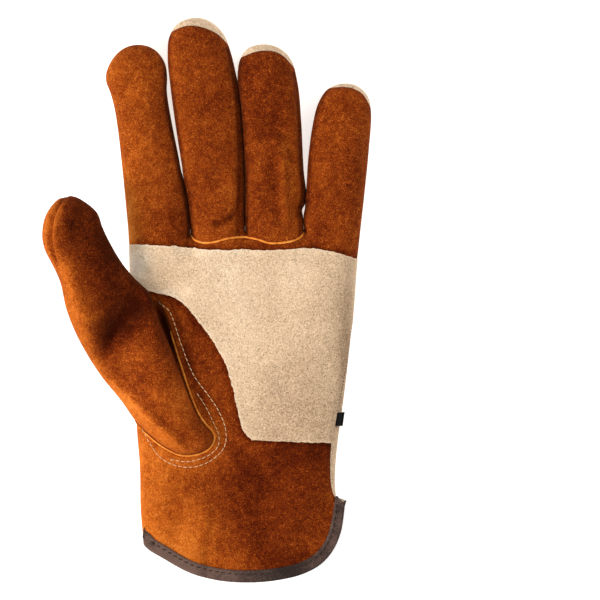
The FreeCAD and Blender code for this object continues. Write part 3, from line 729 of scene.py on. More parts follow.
seam_of_tip = {finger: spline(points, 1.2) for finger, points in TIP_SEAMS.items()}
side_seam = spline(SIDE_SEAM, 1.2)
root_seam = spline(TWO_FINGER_SEAM, 1.1)
foot_line = spline(FOOT_EDGE, 0.9)
strip_seams, strip_areas = [], {}
for (finger, side), widths in STRIPS.items():
    line, end = finger_lines[finger], seam_of_tip[finger]
    tip = int(np.argmax(line[:, 1]))
    half = line[: tip + 1] if side == "left" else line[tip:][::-1]
    inward = left_of(half) * (-1 if side == "left" else 1)
    width = np.interp(np.linspace(0, 1, len(half)), [0, 0.45, 0.9, 1], [*widths, 0.2])
    seam = half + inward * width[:, None]
    to_end = np.array([np.linalg.norm(end - p, axis=1).min() for p in seam])
    meets = np.flatnonzero((to_end < 1.3) & (np.arange(len(seam)) > 8))
    stop = meets[0] if len(meets) else int(len(seam) * 0.9)
    tail = end[np.argmin(np.linalg.norm(end - seam[stop - 1], axis=1))]
    head = seam[0] - (0, 4.0)
    seam = resample(np.vstack([head, seam[:stop], tail]), 1.2)
    strip_seams.append(seam)
    outer = half[:stop] - inward[:stop] * 0.8
    area = np.vstack([head - (0, 3.0), seam, outer[::-1], outer[0] - (0, 7.0)])
    strip_areas[finger, side] = area

patch_line = ragged(spline(PATCH[:8], 0.8), 0.5)
low_edge = resample(np.array(PATCH[8:12], float), 0.8)[:-1]
patch_low = ragged(np.vstack([low_edge, spline(PATCH[11:], 0.8)]), 0.5)
thumb_outline = spline(THUMB, STEP, closed=True)[:-1]
# The palm is open under the thumb, a little inside the thumb's own outline.
hole = thumb_outline - left_of(thumb_outline, closed=True) * 2.2
hole = hole[(hole[:, 0] > -38) & (hole[:, 1] < 4)]
ROOTS = [(x, ROOT_CUT) for x, _ in CROTCHES]
FORK = (CROTCHES[1][0], 29.3)  # where the slit between the two middle fingers meets their seam
cuts = [
    straight((-60, ROOT_CUT), ROOTS[0]), straight(ROOTS[2], (90, ROOT_CUT)),
    straight((-60, CUFF_CUT), (90, CUFF_CUT)), straight(CROTCHES[0], ROOTS[0]),
    straight(CROTCHES[2], ROOTS[2]), straight(CROTCHES[1], FORK), straight(ROOTS[0], ROOTS[2]),
    straight(FORK, ROOTS[1]), patch_line, patch_low, hole,
]
borders = [-60, *(x for x, _ in CROTCHES), 90]
for finger, low, high in zip(ORDER, borders, borders[1:]):
    cuts.append(straight((low, MIDDLE_CUT[finger]), (high, MIDDLE_CUT[finger])))
seams = [side_seam, root_seam, *seam_of_tip.values(), *strip_seams]
flat, plan, on_border = plan_mesh(outline, seams + [foot_line], cuts)

# ---- the hand's envelope
x, y = flat.T
d_closed, _, nearest = Distance(closed_part).nearest(flat)
d_hem = Distance(np.vstack([right_line[-1:], hem_line, left_line[:1]]))(flat)
d_vent = Distance(hem_line[: len(hem_line) // 4])(flat)
joined = on_border & (d_closed < 0.02)
calm = ease(d_closed, 0.5, 6.0)  # no folds at the very edge
level = waist[nearest]  # height of the seam, and of the middle between two seams
crown = 17.9 - 1.0 * ease(y, 40, 100) - 2.2 * ease(y, -84, -130)
crown += marks(flat, [(40, -8, 24, 34, 0.7), (12, -22, 20, 30, -1.1)])
top = level + (crown - level) * bulge(d_closed / (12.8 + 2.5 * ease(y, 20, -20)))
# The vent side of the cuff hangs lower, and the back lifts a little at the hem.
top -= (top - 9.4) * 0.62 * (1 - ease(d_vent, 0, 26)) * ease(y, -90, -100)
bottom = level * (1 - bulge(d_closed / 8.0))
bottom = np.maximum(bottom, 0.75 * (1 - ease(d_hem, 4, 9)) * ease(d_closed, 1.0, 6.0))
top = relax(top, plan, 4, on_border)
bottom = relax(bottom, plan, 2, on_border)

# The palm's edge stands up along the thumb's foot, with a deep gap inside it.
foot_area = np.vstack([foot_line, [(-60, -60), (-60, -1)]])
outward = Distance(foot_line)(flat) * np.where(inside(foot_area, flat), -1, 1)
open_part = ease(y, -60, -44)
lip = 1.9 * hill(outward, np.where(outward > 0.7, 2.0, 0.8), 0.7)
gap = (0.7 + 7.8 * ease(y, -34, -17)) * hill(outward, 1.8, -2.0)
top += lip * (0.25 + 0.75 * open_part) * calm
top -= gap * (0.12 + 0.88 * open_part) * calm * ease(y, 6, -4)

# Soft unevenness of empty leather, and the folds the leather has taken.
top += (0.85 * soft(flat, 21, 3.1) + 0.42 * soft(flat, 9.5, 7.7) + 0.16 * soft(flat, 4.2, 1.3)) * calm
ring_fold = [(33.0, 76), (34.4, 68), (35.9, 56), (37.2, 44), (38.4, 38)]
middle_fold = [(14.6, 60), (15.6, 50), (14.6, 44), (12.4, 39.8), (8.6, 37.0), (3.5, 35.8)]
palm_fold = [(-30, 14), (-20, 9), (-12, 3)]
ring_fold, middle_fold, palm_fold = (
    Distance(spline(fold, 1.0))(flat) for fold in (ring_fold, middle_fold, palm_fold)
)
for away, high, wide, centre in (
    (ring_fold, 1.7, 1.7, 0), (ring_fold, -0.9, 2.2, 3.8), (middle_fold, -2.4, 1.2, 0),
    (middle_fold, 0.6, 1.4, 3.0), (palm_fold, -0.8, 2.5, 0),
):
    top += high * hill(away, wide, centre) * calm
HOLLOWS = [
    (28.0, 84, 5.5, 11, -1.1), (30.5, 61, 4, 10, -0.5), (-22, 46, 6, 10, -0.8),
    (42.4, 42, 2.4, 9, -1.4), (-24, 66, 7, 7, -0.4), (-17, -100, 9, 9, -0.7),
    (12, -96, 10, 22, -0.8), (58, -30, 9, 18, -0.7), (36, -58, 14, 9, -0.6), (2, -74, 12, 8, -0.5),
]
top += marks(flat, HOLLOWS) * calm
# A soft crest runs up the cuff from the hem: its thumb side slopes, its other side drops.
from_crest = x - (-2.2 + 0.05 * (y + 110) + 1.2 * np.sin(y / 9.0))
top += 1.5 * ease(y, -84, -100) * ease(from_crest, -14, 0) * ease(from_crest, 4.5, 0) * calm
# The elastic gathers the back into ripples.
gather = hill(y, 7.5, -57) * ease(d_closed, 4, 10) * ease(np.abs(x - 14), 36, 30)
bottom += gather * 1.25 * (0.5 + 0.5 * np.sin(x * 1.55 + 1.3 * soft(flat, 13, 5.5)))
bottom += 0.22 * (soft(flat, 12, 9.2) + 1) * ease(d_closed, 3, 9) * (1 - gather)
bottom = np.where(joined, top, bottom)

hand = Envelope(flat, plan, top, bottom, joined)
near_seam = Distance(*seams)(flat)
groove = (0.22 * hill(near_seam, 1.0, 1.9) - 0.55 * hill(near_seam, 0.7)) * ease(d_closed, 0.2, 1.6)
sides = swell[nearest] * hill(d_closed, 0.9)
sides -= 0.08 * hill(Distance(left_line[:-8], right_line[8:])(flat), 0.7) * joined
hand.push(np.concatenate([groove + sides, sides]))

# ---- the hand's tone: the suede's own tone, painted light and painted shade
PAINTED_LIGHT = 0.16
PAINTED_LIGHT_WAY = np.array([-0.8, -0.5, 0.0])  # painted light: suede faces turned this way, towards the key light, are lighter
# Painted light and painted shade: ovals where the suede is lighter (above 0) where light falls or
# darker (below 0) where shade lies.
CUFF_PAINTED_SHADING = [
    (-30, -94, 17, 34, 0.22), (-28, -92, 4, 14, -0.09), (-9, -116, 9, 13, 0.18),
    (-4, -122, 20, 7, 0.12), (-15, -98, 7, 9, -0.10), (2, -102, 5, 16, 0.13),
    (2, -63, 6, 8, 0.20), (20, -88, 20, 30, -0.29), (49, -96, 14, 28, -0.18),
    (32, -124, 16, 9, -0.25), (24, -111, 8, 7, -0.16), (50, -71, 12, 8, -0.24),
    (34, -72, 5, 6, -0.16), (-8, -76, 16, 8, 0.09), (-28, -94, 4, 12, -0.07),
    (28, -89, 9, 4, -0.08), (22, -70, 4, 4, 0.13), (58, -93, 3, 6, 0.14), (48, -115, 6, 5, 0.12),
    (60, -66, 5, 5, -0.16), (-4, -13, 5, 6, -0.12), (-9, -27, 3, 6, -0.10), (-7, -48, 3, 12, 0.22),
    (-16, -1, 5, 4, -0.18), (5, -66, 6, 5, 0.08), (-16, -74, 14, 6, 0.08), (-26, -113, 5, 5, 0.16),
    (-6, -104, 8, 9, 0.08), (15, -121, 6, 4, 0.12), (-5, -84, 5, 4, -0.12), (16, -85, 5, 8, -0.08),
    (8, -108, 6, 9, 0.06), (-2, -22, 14, 32, -0.16),
]
FINGER_PAINTED_SHADING = [
    (-32, 70, 14, 26, 0.06), (-37, 34, 5, 24, 0.36), (12, 50, 6, 9, 0.20), (-15, 37, 7, 8, -0.17),
    (-30, 86, 8, 8, -0.05), (-25, 64, 6, 8, -0.05), (-42, 110, 5, 9, 0.07),
    (-19, 98, 3, 12, 0.06), (-12, 114, 6, 10, -0.06), (2, 88, 6, 8, -0.05),
    (14.5, 62, 3, 22, 0.12), (16, 30, 4, 5, 0.10), (20, 108, 3, 8, -0.05),
    (31.5, 72, 2.5, 16, -0.08), (36.5, 62, 2.2, 18, 0.15), (42.5, 86, 3, 26, 0.15),
    (41, 50, 4, 14, 0.11), (56, 70, 9, 30, 0.07), (53, 33, 5, 12, -0.11),
    (50, 58, 3, 12, -0.07), (74.5, 60, 2.5, 30, 0.10), (45, 34, 3, 5, 0.22),
    (-7.5, 38, 2.5, 6, 0.10), (-13, 30, 5, 3, -0.10), (63, 42, 9, 22, -0.06),
    (-36, 27, 4, 8, 0.18), (-18, 42, 4, 6, -0.08), (-35, 76, 4, 5, 0.10),
    (35.5, 68, 2.5, 8, 0.10), (30, 58, 3, 6, -0.10), (30, 83, 4, 6, -0.06), (40, 44, 3, 5, 0.08),
    (25, 96, 5, 5, 0.07), (71, 62, 4, 9, -0.10), (17, 104, 2.5, 8, -0.12),
    (13.5, 98, 2.5, 10, 0.12), (-21, 86, 5, 10, -0.08), (54, 29, 6, 6, -0.10),
    (-44, 112, 3, 7, 0.08),
]
# Painted light and painted shade on the beige patch, lighter where the thumb's shadow falls.
PATCH_PAINTED_SHADING = [
    (12, 4, 13, 40, 0.10), (-20, 20, 16, 6, 0.05), (44, -54, 30, 34, -0.22),
    (66, 0, 14, 26, -0.10), (-24, 8, 12, 6, -0.12), (-33, 14, 7, 11, 0.52),
    (-17, 3.5, 8, 4, 0.20), (65, -34, 4, 38, -0.34),
]
# Painted light and painted shade along the hem tape.
TAPE_PAINTED_SHADING = [(-14, -124, 24, 12, 0.22), (36, -127, 14, 9, -0.18)]
patch_edge = Distance(patch_line, patch_low)(flat)  # fluffy and pale, with painted shadow just outside
tone = 0.07 * soft(flat, 30, 2.2) + marks(flat, CUFF_PAINTED_SHADING + FINGER_PAINTED_SHADING)
# Darker over the fingers beyond the index, and more so over the ring finger.
tone -= 0.08 * ease(x, -14, -4) * ease(y, 26, 48)
tone -= 0.06 * ease(x, 14, 24) * ease(y, 60, 90) * ease(x, 50, 45)
# Painted shade: darker in the seam grooves, in a shadow just outside the patch and in the middle
# finger's fold.
tone -= 0.14 * hill(near_seam, 1.0) + 0.20 * hill(patch_edge, 2.2) + 0.03 * ease(y, 26, 40)
tone -= 0.24 * hill(middle_fold, 1.2) * calm
# Painted shade in the deep gap under the thumb's ball, and in a strip beside its lip.
gap_painted_shade = 0.60 * hill(outward, 1.9, -2.1) * ease(y, -2, -9) * (0.06 + 0.94 * ease(y, -30, -17))
tone -= gap_painted_shade * (0.2 + 0.8 * open_part)
tone -= 0.14 * hill(outward, 2.2, 3.2) * ease(y, 2, -8) * open_part
# Painted light: faces turned to the left are lighter, much less so on the fingers.
painted_light_amount = np.tile(PAINTED_LIGHT * (1 - 0.85 * ease(y, 18, 30)), 2)
hand_tone = np.tile(tone, 2) + painted_light_amount * (hand.normals @ PAINTED_LIGHT_WAY)
# Beige: painted light on the fingertip rims and painted shade down the little-finger side, over slow
# random tone.
front_painted_shading = 0.06 * (y > 88) + 0.05 * soft(flat, 14, 1.1) + marks(flat, [(65, -40, 7, 40, -0.30)])
back_tone = np.concatenate([front_painted_shading, 0.08 * soft(flat, 22, 8.1)])
patch_tone = marks(flat, PATCH_PAINTED_SHADING) + 0.05 * soft(flat, 16, 5.2) + 0.16 * hill(patch_edge, 0.7)

# ---- the hand's panels
middle = hand.middle
fx, fy = middle.T
column = np.zeros(len(middle), int)  # the finger that a face would belong to
for finger, (crotch_x, crotch_y) in zip(ORDER[1:], CROTCHES):
    side = finger_lines[finger]
    side = side[: int(np.argmax(side[:, 1])) + 1]
    limit = np.interp(fy, side[:, 1], side[:, 0]) - 0.15
    column += fx > np.where(fy < crotch_y, crotch_x, limit)
above_root = inside(np.vstack([root_seam, [(95, 34), (95, 200), (-95, 200), (-95, 32)]]), middle)
is_finger = np.where(hand.is_top & np.isin(column, (1, 2)), above_root, fy > ROOT_CUT)
is_back = ~hand.is_top
for finger, seam in seam_of_tip.items():
    area = np.vstack([seam, seam[-1] + [14, 12], [seam[:, 0].mean(), 160], seam[0] + [-14, 12]])
    is_back |= inside(area, middle) & (column == ORDER.index(finger)) & is_finger & (fy > 80)
beyond_side = inside(np.vstack([side_seam, [(90, -97), (90, 0)]]), middle)
is_back |= beyond_side & (fy > -96.5)
strip_side = np.full(len(middle), "", "U5")
for (finger, side), area in strip_areas.items():
    hit = is_finger & (column == ORDER.index(finger))
    hit[hit] = inside(area, middle[hit])
    strip_side[hit] = side
is_back &= strip_side == ""
is_front = ~is_back & (strip_side == "")
palm = ~is_finger & (fy > CUFF_CUT)
cuff = ~is_finger & (fy <= CUFF_CUT)
in_hole = inside(hole, middle) & hand.is_top
in_patch = inside(np.vstack([patch_line, patch_low]), middle) & hand.is_top & ~beyond_side

WRIST = ("hand", "cuff", (10, CUFF_CUT, 9), (10, -97.0, 9))
BROWN_LOOK, BEIGE_LOOK = (BROWN, hand_tone), (BEIGE, back_tone)
for node, name, chosen, look, bend in (
    ("palm_panel", "palm_panel", palm & ~is_back & ~in_hole, BROWN_LOOK, None),
    ("hand_back_panel", "hand_back", palm & is_back, BEIGE_LOOK, None),
    ("cuff_front_panel", "cuff_front", cuff & ~is_back, BROWN_LOOK, WRIST),
    ("cuff_back_panel", "cuff_back", cuff & is_back, BEIGE_LOOK, WRIST),
):
    add(panel(name + "_leather", hand, chosen, *look), [node], bend=bend)
patch_lift = np.tile(0.25 + 1.05 * ease(d_closed, 0.0, 4.0), 2)
patch = panel("palm_patch_leather", hand, palm & in_patch, BEIGE, np.tile(patch_tone, 2),
              lift=patch_lift, thickness=PATCH_LEATHER)
add(patch, ["palm_patch"])
KNUCKLE = {"index": 37.5, "middle": 40.0, "ring": 40.0, "little": 36.5}
BEND = {"index": 64.0, "middle": 69.0, "ring": 65.0, "little": 58.0}
for number, finger in enumerate(ORDER):
    lower, upper = f"{finger}_lower", f"{finger}_upper"
    is_low = fy <= MIDDLE_CUT[finger]
    knuckle, joint = KNUCKLE[finger], BEND[finger]
    for row, part, bend in (
        ("lower", is_low, ("hand", lower, (0, 29.0, 9), (0, 2 * knuckle - 29.0, 9))),
        ("upper", ~is_low, (lower, upper, (0, joint - 9, 9), (0, joint + 9, 9))),
    ):
        chosen = is_finger & (column == number) & part
        front, back = f"{finger}_front_{row}", f"{finger}_back_{row}"
        nodes = [front, "middle_ring_front_root"] if front == "middle_front_lower" else [front]
        add(panel(front + "_leather", hand, chosen & is_front, *BROWN_LOOK), nodes, bend=bend)
        add(panel(back + "_leather", hand, chosen & is_back, *BEIGE_LOOK), [back], bend=bend)
        for side, other in (("left", number - 1), ("right", number + 1)):
            if (finger, side) in STRIPS:
                node = f"{finger}_fourchette_{ORDER[other]}_side_{row}"
                strip = chosen & (strip_side == side)
                # The strips between the fingers get painted shade.
                obj = panel(node + "_leather", hand, strip, BROWN, hand_tone - 0.12)
                add(obj, [node], bend=bend)


# ---- the thumb
def beside(points, line, way):
    """Distance to a line, the nearest place on it, and which points lie this way from it."""
    away, foot, _ = Distance(spline(line, 1.0)).nearest(points)
    return away, foot, (points - foot) @ np.array(way) > 0


thumb_seam = spline(THUMB_SEAM, 1.2)
# The hand's edge under the thumb, a little inside its fold.
hand_edge = left_line[(left_line[:, 1] > -66) & (left_line[:, 1] < 26)] + (3.0, 0)
middles = [THUMB_ORIGIN[:2] + ALONG * reach for reach in THUMB_CUTS]
thumb_cuts = [straight(at - ACROSS * 40, at + ACROSS * 40) for at in middles]
t_flat, t_plan, t_border = plan_mesh(thumb_outline, [thumb_seam], thumb_cuts + [hand_edge])
thumb_edge = Distance(np.vstack([thumb_outline, thumb_outline[:1]]))
td = thumb_edge(t_flat)
s = (t_flat - THUMB_ORIGIN[:2]) @ ALONG
c = (t_flat - THUMB_ORIGIN[:2]) @ ACROSS
ty = t_flat[:, 1]
over_hand = inside(outline, t_flat)
palm_level = np.full(len(t_flat), WAIST)
for k in np.flatnonzero(over_hand):
    palm_level[k] = hand.on(*t_flat[k])[0][2]
palm_level = relax(palm_level, t_plan, 6) + 0.5
tilt = THUMB_ORIGIN[2] + s * math.tan(THUMB_PITCH) - c * math.tan(THUMB_ROLL)
foot = 1 - ease(s, 4, 40)  # 1 where the thumb rests on the palm
overhang = 4.6 * ease(c, 2, 9) * ease(s, 2, 20)
raised = palm_level + overhang
rim_level = foot * raised + (1 - foot) * np.where(over_hand, np.maximum(tilt, raised), tilt)
rim_level = relax(rim_level, t_plan, 12)
height = 9.0 + 1.6 * hill(s, 24, -8) * hill(c, 14, 1) - 0.28 * overhang
under = foot * np.where(over_hand, 0.6 + overhang, 6.0) + (1 - foot) * 9.0
t_top = relax(rim_level + height * bulge(td / 12.0), t_plan, 3, t_border)
t_bottom = rim_level - under * bulge(td / (4.0 + 6.5 * (1 - foot * over_hand)))
t_bottom = relax(t_bottom, t_plan, 2, t_border)
t_calm = ease(td, 0.5, 6)
# The thumb's own crest, the valley where it meets the ball, and the fold under that.
crest = Distance(spline([(-70, 34), (-64, 12), (-57, -8), (-51.5, -20)], 1.0))(t_flat)
VALLEY = [(-22, 3.5), (-30, -1.5), (-39, -9), (-46, -18.5), (-49, -25)]
dent, dent_foot, below_dent = beside(t_flat, VALLEY, (0.62, -0.78))
depth = np.interp(dent_foot[:, 0], [-49, -45, -38, -22], [2.2, 5.8, 5.4, 3.2])
SHOULDER = [(-43, -39.5), (-35.9, -45.8), (-25, -55.6), (-13, -66)]
shoulder, _, inner_side = beside(t_flat, SHOULDER, (0.66, 0.75))
t_top += 2.4 * hill(crest, 6.0) * t_calm
t_top -= depth * hill(dent, np.where(below_dent, 3.6, 8.0)) * t_calm
t_top += 1.6 * hill(shoulder, np.where(inner_side, 1.1, 3.2)) * t_calm
t_top -= 0.7 * hill(shoulder, 2.6, 4.2) * t_calm * inner_side
t_top += (0.6 * soft(t_flat, 17, 4.4) + 0.35 * soft(t_flat, 8, 8.8)) * t_calm
t_top += 0.14 * soft(t_flat, 4.0, 2.9) * t_calm
t_bottom += 0.4 * soft(t_flat, 12, 6.1) * t_calm
t_bottom = np.where(t_border, t_top, t_bottom)
thumb = Envelope(t_flat, t_plan, t_top, t_bottom, t_border)
t_seam = Distance(thumb_seam)(t_flat)
t_side = -0.1 * hill(td, 0.7)
t_groove = 0.8 * hill(t_seam, 0.9, 1.8) - 1.3 * hill(t_seam, 0.7)
t_groove *= (0.25 + 0.75 * ease(td, 0.8, 3.2)) * ease(ty, 13, 19)
thumb.push(np.concatenate([t_groove + t_side, t_side]))

# Painted light and painted shade on the thumb: lighter (above 0) and darker (below 0) ovals.
THUMB_PAINTED_SHADING = [
    (-69, 42, 5, 9, 0.34), (-47, 24, 7, 10, -0.08), (-62, 38, 5, 7, -0.10), (-33, -33, 8, 7, -0.20),
    (-10, -48, 5, 12, 0.22), (-47, -20, 4, 4, -0.12), (-29, -36, 6, 5, -0.12),
    (-67, 24, 4, 5, -0.14), (-22, -18, 7, 16, -0.12), (-53, -20, 5, 15, 0.22),
    (-38, -14, 9, 7, -0.40), (-30, -4, 6, 6, -0.30), (-23, -5, 2.5, 4, 0.10),
    (-43, 14, 8, 16, -0.16), (-64, 32, 4, 10, -0.08),
]
t_tone = 0.08 * soft(t_flat, 26, 6.6) + marks(t_flat, THUMB_PAINTED_SHADING)
# Painted light on the lit left edge and the outer shoulder; painted shade in the valley, on the shaded
# right side, in the seam groove, inside the shoulder fold and at the edge over the palm.
t_tone += 0.06 * hill(td, 4, 3) * ease(c, 0, -9)
t_tone -= 0.26 * hill(dent, np.where(below_dent, 4, 9))
t_tone -= 0.20 * ease(s, 22, 50) * ease(c, -9, 2)
t_tone -= 0.22 * hill(t_seam, 0.9) * ease(ty, 13, 19)
t_tone += 0.12 * hill(shoulder, 4.5) * ~inner_side
t_tone -= 0.12 * hill(shoulder, 3.5, 4) * inner_side
t_tone -= 0.10 * hill(td, 2.6) * ease(c, 6, 11) * ease(s, -16, 4)
# Painted light: thumb faces turned to the left are lighter.
t_tone = np.tile(t_tone, 2) + 0.8 * PAINTED_LIGHT * (thumb.normals @ PAINTED_LIGHT_WAY)
t_along = (thumb.middle - THUMB_ORIGIN[:2]) @ ALONG
seam_area = np.vstack([thumb_seam, [(-95, 5), (-95, 60), (-62, 60)]])
t_back = ~thumb.is_top | (inside(seam_area, thumb.middle) & (thumb.middle[:, 1] > 8))
# Where the thumb is open to the hand it has no underside, apart from a tucked-in edge.
opening = np.vstack([hand_edge, [(60, 26), (60, -120), (-33, -120), hand_edge[0]]])
buried = ~thumb.is_top & inside(opening, thumb.middle)
tucked = buried & (thumb_edge(thumb.middle) < 4.4)
is_base, is_tip = t_along <= THUMB_CUTS[0], t_along > THUMB_CUTS[1]
for row, part, bend in (
    ("base", is_base, None),
    ("lower", ~is_base & ~is_tip, ("hand", "thumb_lower", thumb_point(40), thumb_point(60))),
    ("upper", is_tip, ("thumb_lower", "thumb_upper", thumb_point(64), thumb_point(82))),
):
    for face, chosen in (("front", ~t_back | tucked), ("back", t_back & ~buried)):
        node = f"thumb_{face}_{row}"
        add(panel(node + "_leather", thumb, part & chosen, BROWN, t_tone), [node], bend=bend)


# ---- trims
def welt(name, path, radius, high, wobble):
    """A folded raw edge along a path, high times as high as wide. wobble makes it uneven."""
    path = np.array(path)
    run = unit(np.gradient(path, axis=0))
    side = unit(np.cross(run, (0, 0, 1.0)))
    lift = np.cross(side, run)
    k = np.arange(len(path))
    size = radius * np.minimum(1, 0.35 + 0.65 * np.minimum(k, k[::-1]) / 2)
    size = size * (1 + wobble * np.sin(k * 1.9) * np.sin(k * 0.63))
    parts = zip(path, side, lift, size)
    return loft(name, [[ring_of(p, u * r, v * r * high, 8) for p, u, v, r in parts]], EDGE)


def stitches(name, places, material, length, width, slant=0.0):
    """Threads that dive into the leather at both ends, at each (point, direction, normal)."""
    turn = math.radians(slant)
    bodies = []
    for spot, way, normal in places:
        way = unit(way - normal * (way @ normal))
        side = np.cross(normal, way)
        way, side = (way * math.cos(turn) + side * math.sin(turn),
                     side * math.cos(turn) - way * math.sin(turn))
        rings = []
        for t in np.linspace(-0.5, 0.5, 7):
            thick = width / 2 * math.sqrt(max(0.12, 1 - (abs(t) * 2) ** 4))
            rise = width * (0.75 * (1 - (2 * t) ** 2) - 0.35)
            centre = spot + way * t * length + normal * rise
            rings.append(ring_of(centre, side * thick, normal * thick, 6))
        bodies.append(rings)
    return loft(name, bodies, material)


def row_on(line, pitch, lift=0.25, below=False, hidden=None):
    """Places along a flat line, laid on the hand, apart from those inside a hidden area."""
    line = resample(line, pitch)
    places = []
    for a, b in zip(line, line[1:]):
        spot, normal = hand.on(*((a + b) / 2), lift=lift, below=below)
        if hidden is None or not inside(hidden, spot[None, :2])[0]:
            places.append((spot, np.array([*(b - a), 0.0]), normal))
    return places


foot_path = [hand.on(*p, lift=0.28)[0] for p in foot_line[foot_line[:, 1] < -14]]
add(welt("thumb_base_welt_edge", foot_path, 0.46, 1.2, 0.22), ["thumb_base_welt"])
for label, line, width in (("outer", OUTER_ROW, 0.31), ("inner", INNER_ROW, 0.30)):
    name = f"thumb_topstitch_{label}"
    places = row_on(spline(line, 0.8), 2.5)
    add(stitches(name + "_thread", places, WHITE, 2.0, width, 4), [name])
root_line = spline(TWO_FINGER_SEAM[:-1] + [(45.6, 31.6)], 0.9)
root_path = [hand.on(px, py - 0.1, lift=0.3)[0] for px, py in root_line]
add(welt("finger_base_welt_edge", root_path, 0.52, 1.0, 0.3), ["finger_base_welt"])
needle_line = spline([(-32, 20.6), (-20, 20.2), (-7, 19), (12, 18.3), (46, 18.8), (62, 16.5)], 1)
places = row_on(needle_line, 3.3, lift=1.3, hidden=thumb_outline)
add(stitches("patch_stitch_thread", places, PALE, 1.5, 0.3), ["patch_stitches"])

TAPE_THICK = 0.55
TAPE_GAP = 0.02  # between the tape and the leather it clasps
TAPE_SHARES = (1.0, 0.8, 0.55, 0.3, 0.12)  # of the tape's width, from its inner edge out


def binding(name, line, below):
    """Folded tape over a hem edge: outer fold, then back along the leather it clasps."""
    inward = -left_of(line)
    last = inward[-1].copy()
    for k, share in enumerate(TAPE_SHARES):  # the end turns up along the vent
        inward[-1 - k] = unit((1 - share) * last + share * np.array([-0.16, 0.99]))
    along = np.linspace(0, 1, len(line))
    width = np.interp(along, [0, 0.12, 0.5, 0.8, 1], [4.4, 4.9, 5.2, 4.9, 5.2])
    rings = []
    for p, n, w in zip(line, inward, width):
        spots = [hand.on(*(p + n * w * share), below=below) for share in TAPE_SHARES]
        outer, clasp, back, rear = (
            [q - v * depth for q, v in spots]
            for depth in (-TAPE_THICK, -TAPE_GAP, LEATHER + TAPE_GAP, LEATHER + TAPE_THICK)
        )
        edge, v = spots[-1]
        out = np.array([*(-n), 0.0])
        lip = edge + out * (w * 0.12)
        turn, inner_turn = (
            [lip - v * depth + out * reach for depth, reach in steps]
            for steps in (
                ((-0.8 * TAPE_THICK, 0.25), (0.2 * LEATHER, 0.62), (0.8 * LEATHER, 0.62),
                 (LEATHER + 0.8 * TAPE_THICK, 0.25)),
                ((-TAPE_GAP, 0.06), (LEATHER + TAPE_GAP, 0.06)),
            )
        )
        ring = np.array(outer + turn + rear[::-1] + back + inner_turn[::-1] + clasp[::-1])
        if below:
            ring[:, 2] = np.maximum(ring[:, 2], 0.05)
        rings.append(ring)
    return loft(name, [rings], TAPE, TAPE_PAINTED_SHADING)


hem_path = spline([(64.5, -92.9)] + HEM[1:] + [LEFT_SIDE[0]], 1.3)[:-2]
add(binding("hem_binding_front", hem_path, False), ["hem_binding"], "cuff")
add(binding("hem_binding_back", hem_path, True), [], "cuff")
HEM_ROW_IN = 3.3  # from the hem to its stitches
hem_row = (hem_path - left_of(hem_path) * HEM_ROW_IN)[2:-3]
places = row_on(hem_row, 3.0, lift=0.62)
add(stitches("hem_stitch_thread", places, DARK, 2.1, 0.46, 14), ["hem_stitches"], "cuff")
places = row_on(hem_row, 3.0, lift=0.5, below=True)
add(stitches("hem_stitch_thread_back", places, DARK, 2.0, 0.3, 14), [], "cuff")

# The knitted elastic inside the back, rippled with the leather it gathers.
ELASTIC_Y = -57.0
ELASTIC_ENDS = (-17.0, 45.8)
rings = []
for px in np.linspace(*ELASTIC_ENDS, 120):
    low = []
    for py in ELASTIC_Y + np.array([-4.0, -2.0, 0.0, 2.0, 4.0]):
        low.append((px, py, hand.on(px, py, below=True)[0][2] + LEATHER + 0.1))
    rings.append(low + [(px, py, pz + 0.9) for px, py, pz in low[::-1]])
add(loft("wrist_elastic_band", [rings], ELASTIC), ["wrist_elastic"])
zigzag = [(px, ELASTIC_Y + (1.3 if k % 2 else -1.3)) for k, px in enumerate(np.arange(-15, 44, 2.2))]
places = []
for a, b in zip(np.array(zigzag), np.array(zigzag[1:])):
    spot = hand.on(*((a + b) / 2), below=True)[0] + (0, 0, LEATHER + 1.15)
    places.append((spot, np.array([*(b - a), 0.0]), np.array([0, 0, 1.0])))
add(stitches("elastic_stitch_thread", places, PALE, 3.0, 0.4), ["elastic_stitches"])
places = []
for px in np.arange(-16, 45, 2.6):
    spot, normal = hand.on(px, ELASTIC_Y, lift=0.12, below=True)
    places.append((spot, np.array([1.0, 0, 0]), normal))
add(stitches("elastic_stitch_thread_outside", places, PALE, 1.9, 0.4), [])

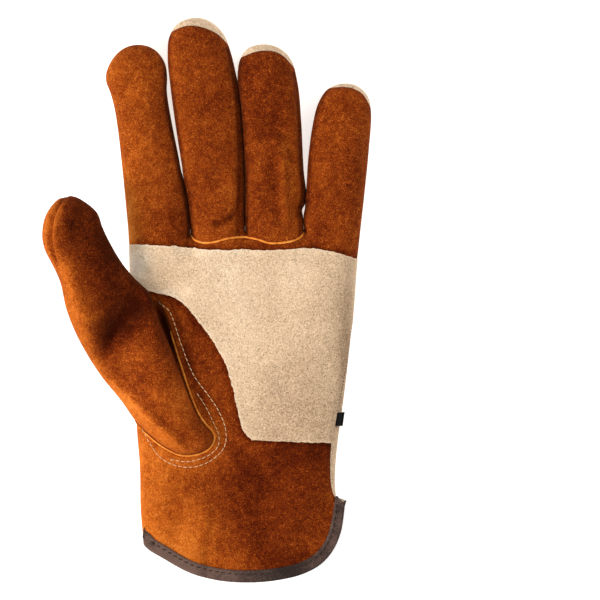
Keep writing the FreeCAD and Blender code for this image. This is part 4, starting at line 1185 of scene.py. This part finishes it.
# A short black tape folded over the side seam, its front end lying on the patch.
TAB_ENDS = (-59.1, -52.8)
rings = []
for py in np.linspace(*TAB_ENDS, 7):
    edge = np.interp(py, right_line[::-1, 1], right_line[::-1, 0])
    path = [hand.on(px, py, lift=1.5)[0][[0, 2]] for px in np.linspace(edge - 3.1, edge - 0.5, 5)]
    path += [(edge + 0.9, 11.9), (edge + 1.35, 9.8), (edge + 1.1, 7.6), (edge + 0.5, 6.2)]
    path = np.array(path)
    ring = np.vstack([path, (path - left_of(path) * 0.8)[::-1]])
    rings.append([(px, py + 0.1 * math.sin(5 * px), pz) for px, pz in ring])
add(loft("side_tab_tape", [rings], BLACK), ["side_tab"])
side_row = side_seam[(side_seam[:, 1] < -12) & (side_seam[:, 1] > -51)]
add(stitches("side_seam_thread", row_on(side_row, 1.5, lift=0.1), DARK, 1.1, 0.42, 20), [])

# ---- floor, light and camera
n = Nodes("floor_paper")
speckle = n.noise(300.0, 2.0, 0.5)
paper = n.finish(
    n.ramp(speckle, (0.0, (0.86, 0.86, 0.86)), (1.0, (0.90, 0.90, 0.90))), Roughness=0.95,
    Specular_IOR_Level=0.1, Emission_Color=(1.0, 1.0, 1.0), Emission_Strength=0.55,
)
FAR, FLOOR_Z = 3000, -0.3
ground = [(-FAR, -FAR, FLOOR_Z), (FAR, -FAR, FLOOR_Z), (FAR, FAR, FLOOR_Z), (-FAR, FAR, FLOOR_Z)]
floor = make_mesh("floor", ground, [(0, 1, 2, 3)], paper, smooth=False)

world = bpy.data.worlds.new("studio")
bpy.context.scene.world = world
world.use_nodes = True
world.node_tree.nodes["Background"].inputs["Color"].default_value = (1.0, 0.99, 0.975, 1.0)
world.node_tree.nodes["Background"].inputs["Strength"].default_value = 0.55

for name, place, size, power, colour in (
    ("key", (-1.30, -0.40, 0.92), 0.50, 26.0, (1.0, 0.965, 0.92)),
    ("fill", (0.5, 0.3, 1.6), 1.2, 4.0, (0.97, 0.98, 1.0)),
    ("side", (1.1, 0.9, 0.8), 0.8, 4.0, (1.0, 0.99, 0.97)),
):
    light = bpy.data.lights.new(name, "AREA")
    light.shape, light.size, light.energy, light.color = "DISK", size, power, colour
    lamp = new_object(name, light, place)
    lamp.rotation_euler = (-Vector(place)).to_track_quat("-Z", "Y").to_euler()

lens = bpy.data.cameras.new("camera")
lens.sensor_width, lens.lens = 36.0, 330.8
lens.clip_start, lens.clip_end = 0.05, 20.0
bpy.context.scene.camera = new_object("camera", lens, (0.0437, 0.0, 2.6))
bpy.context.scene.view_settings.view_transform = "Standard"
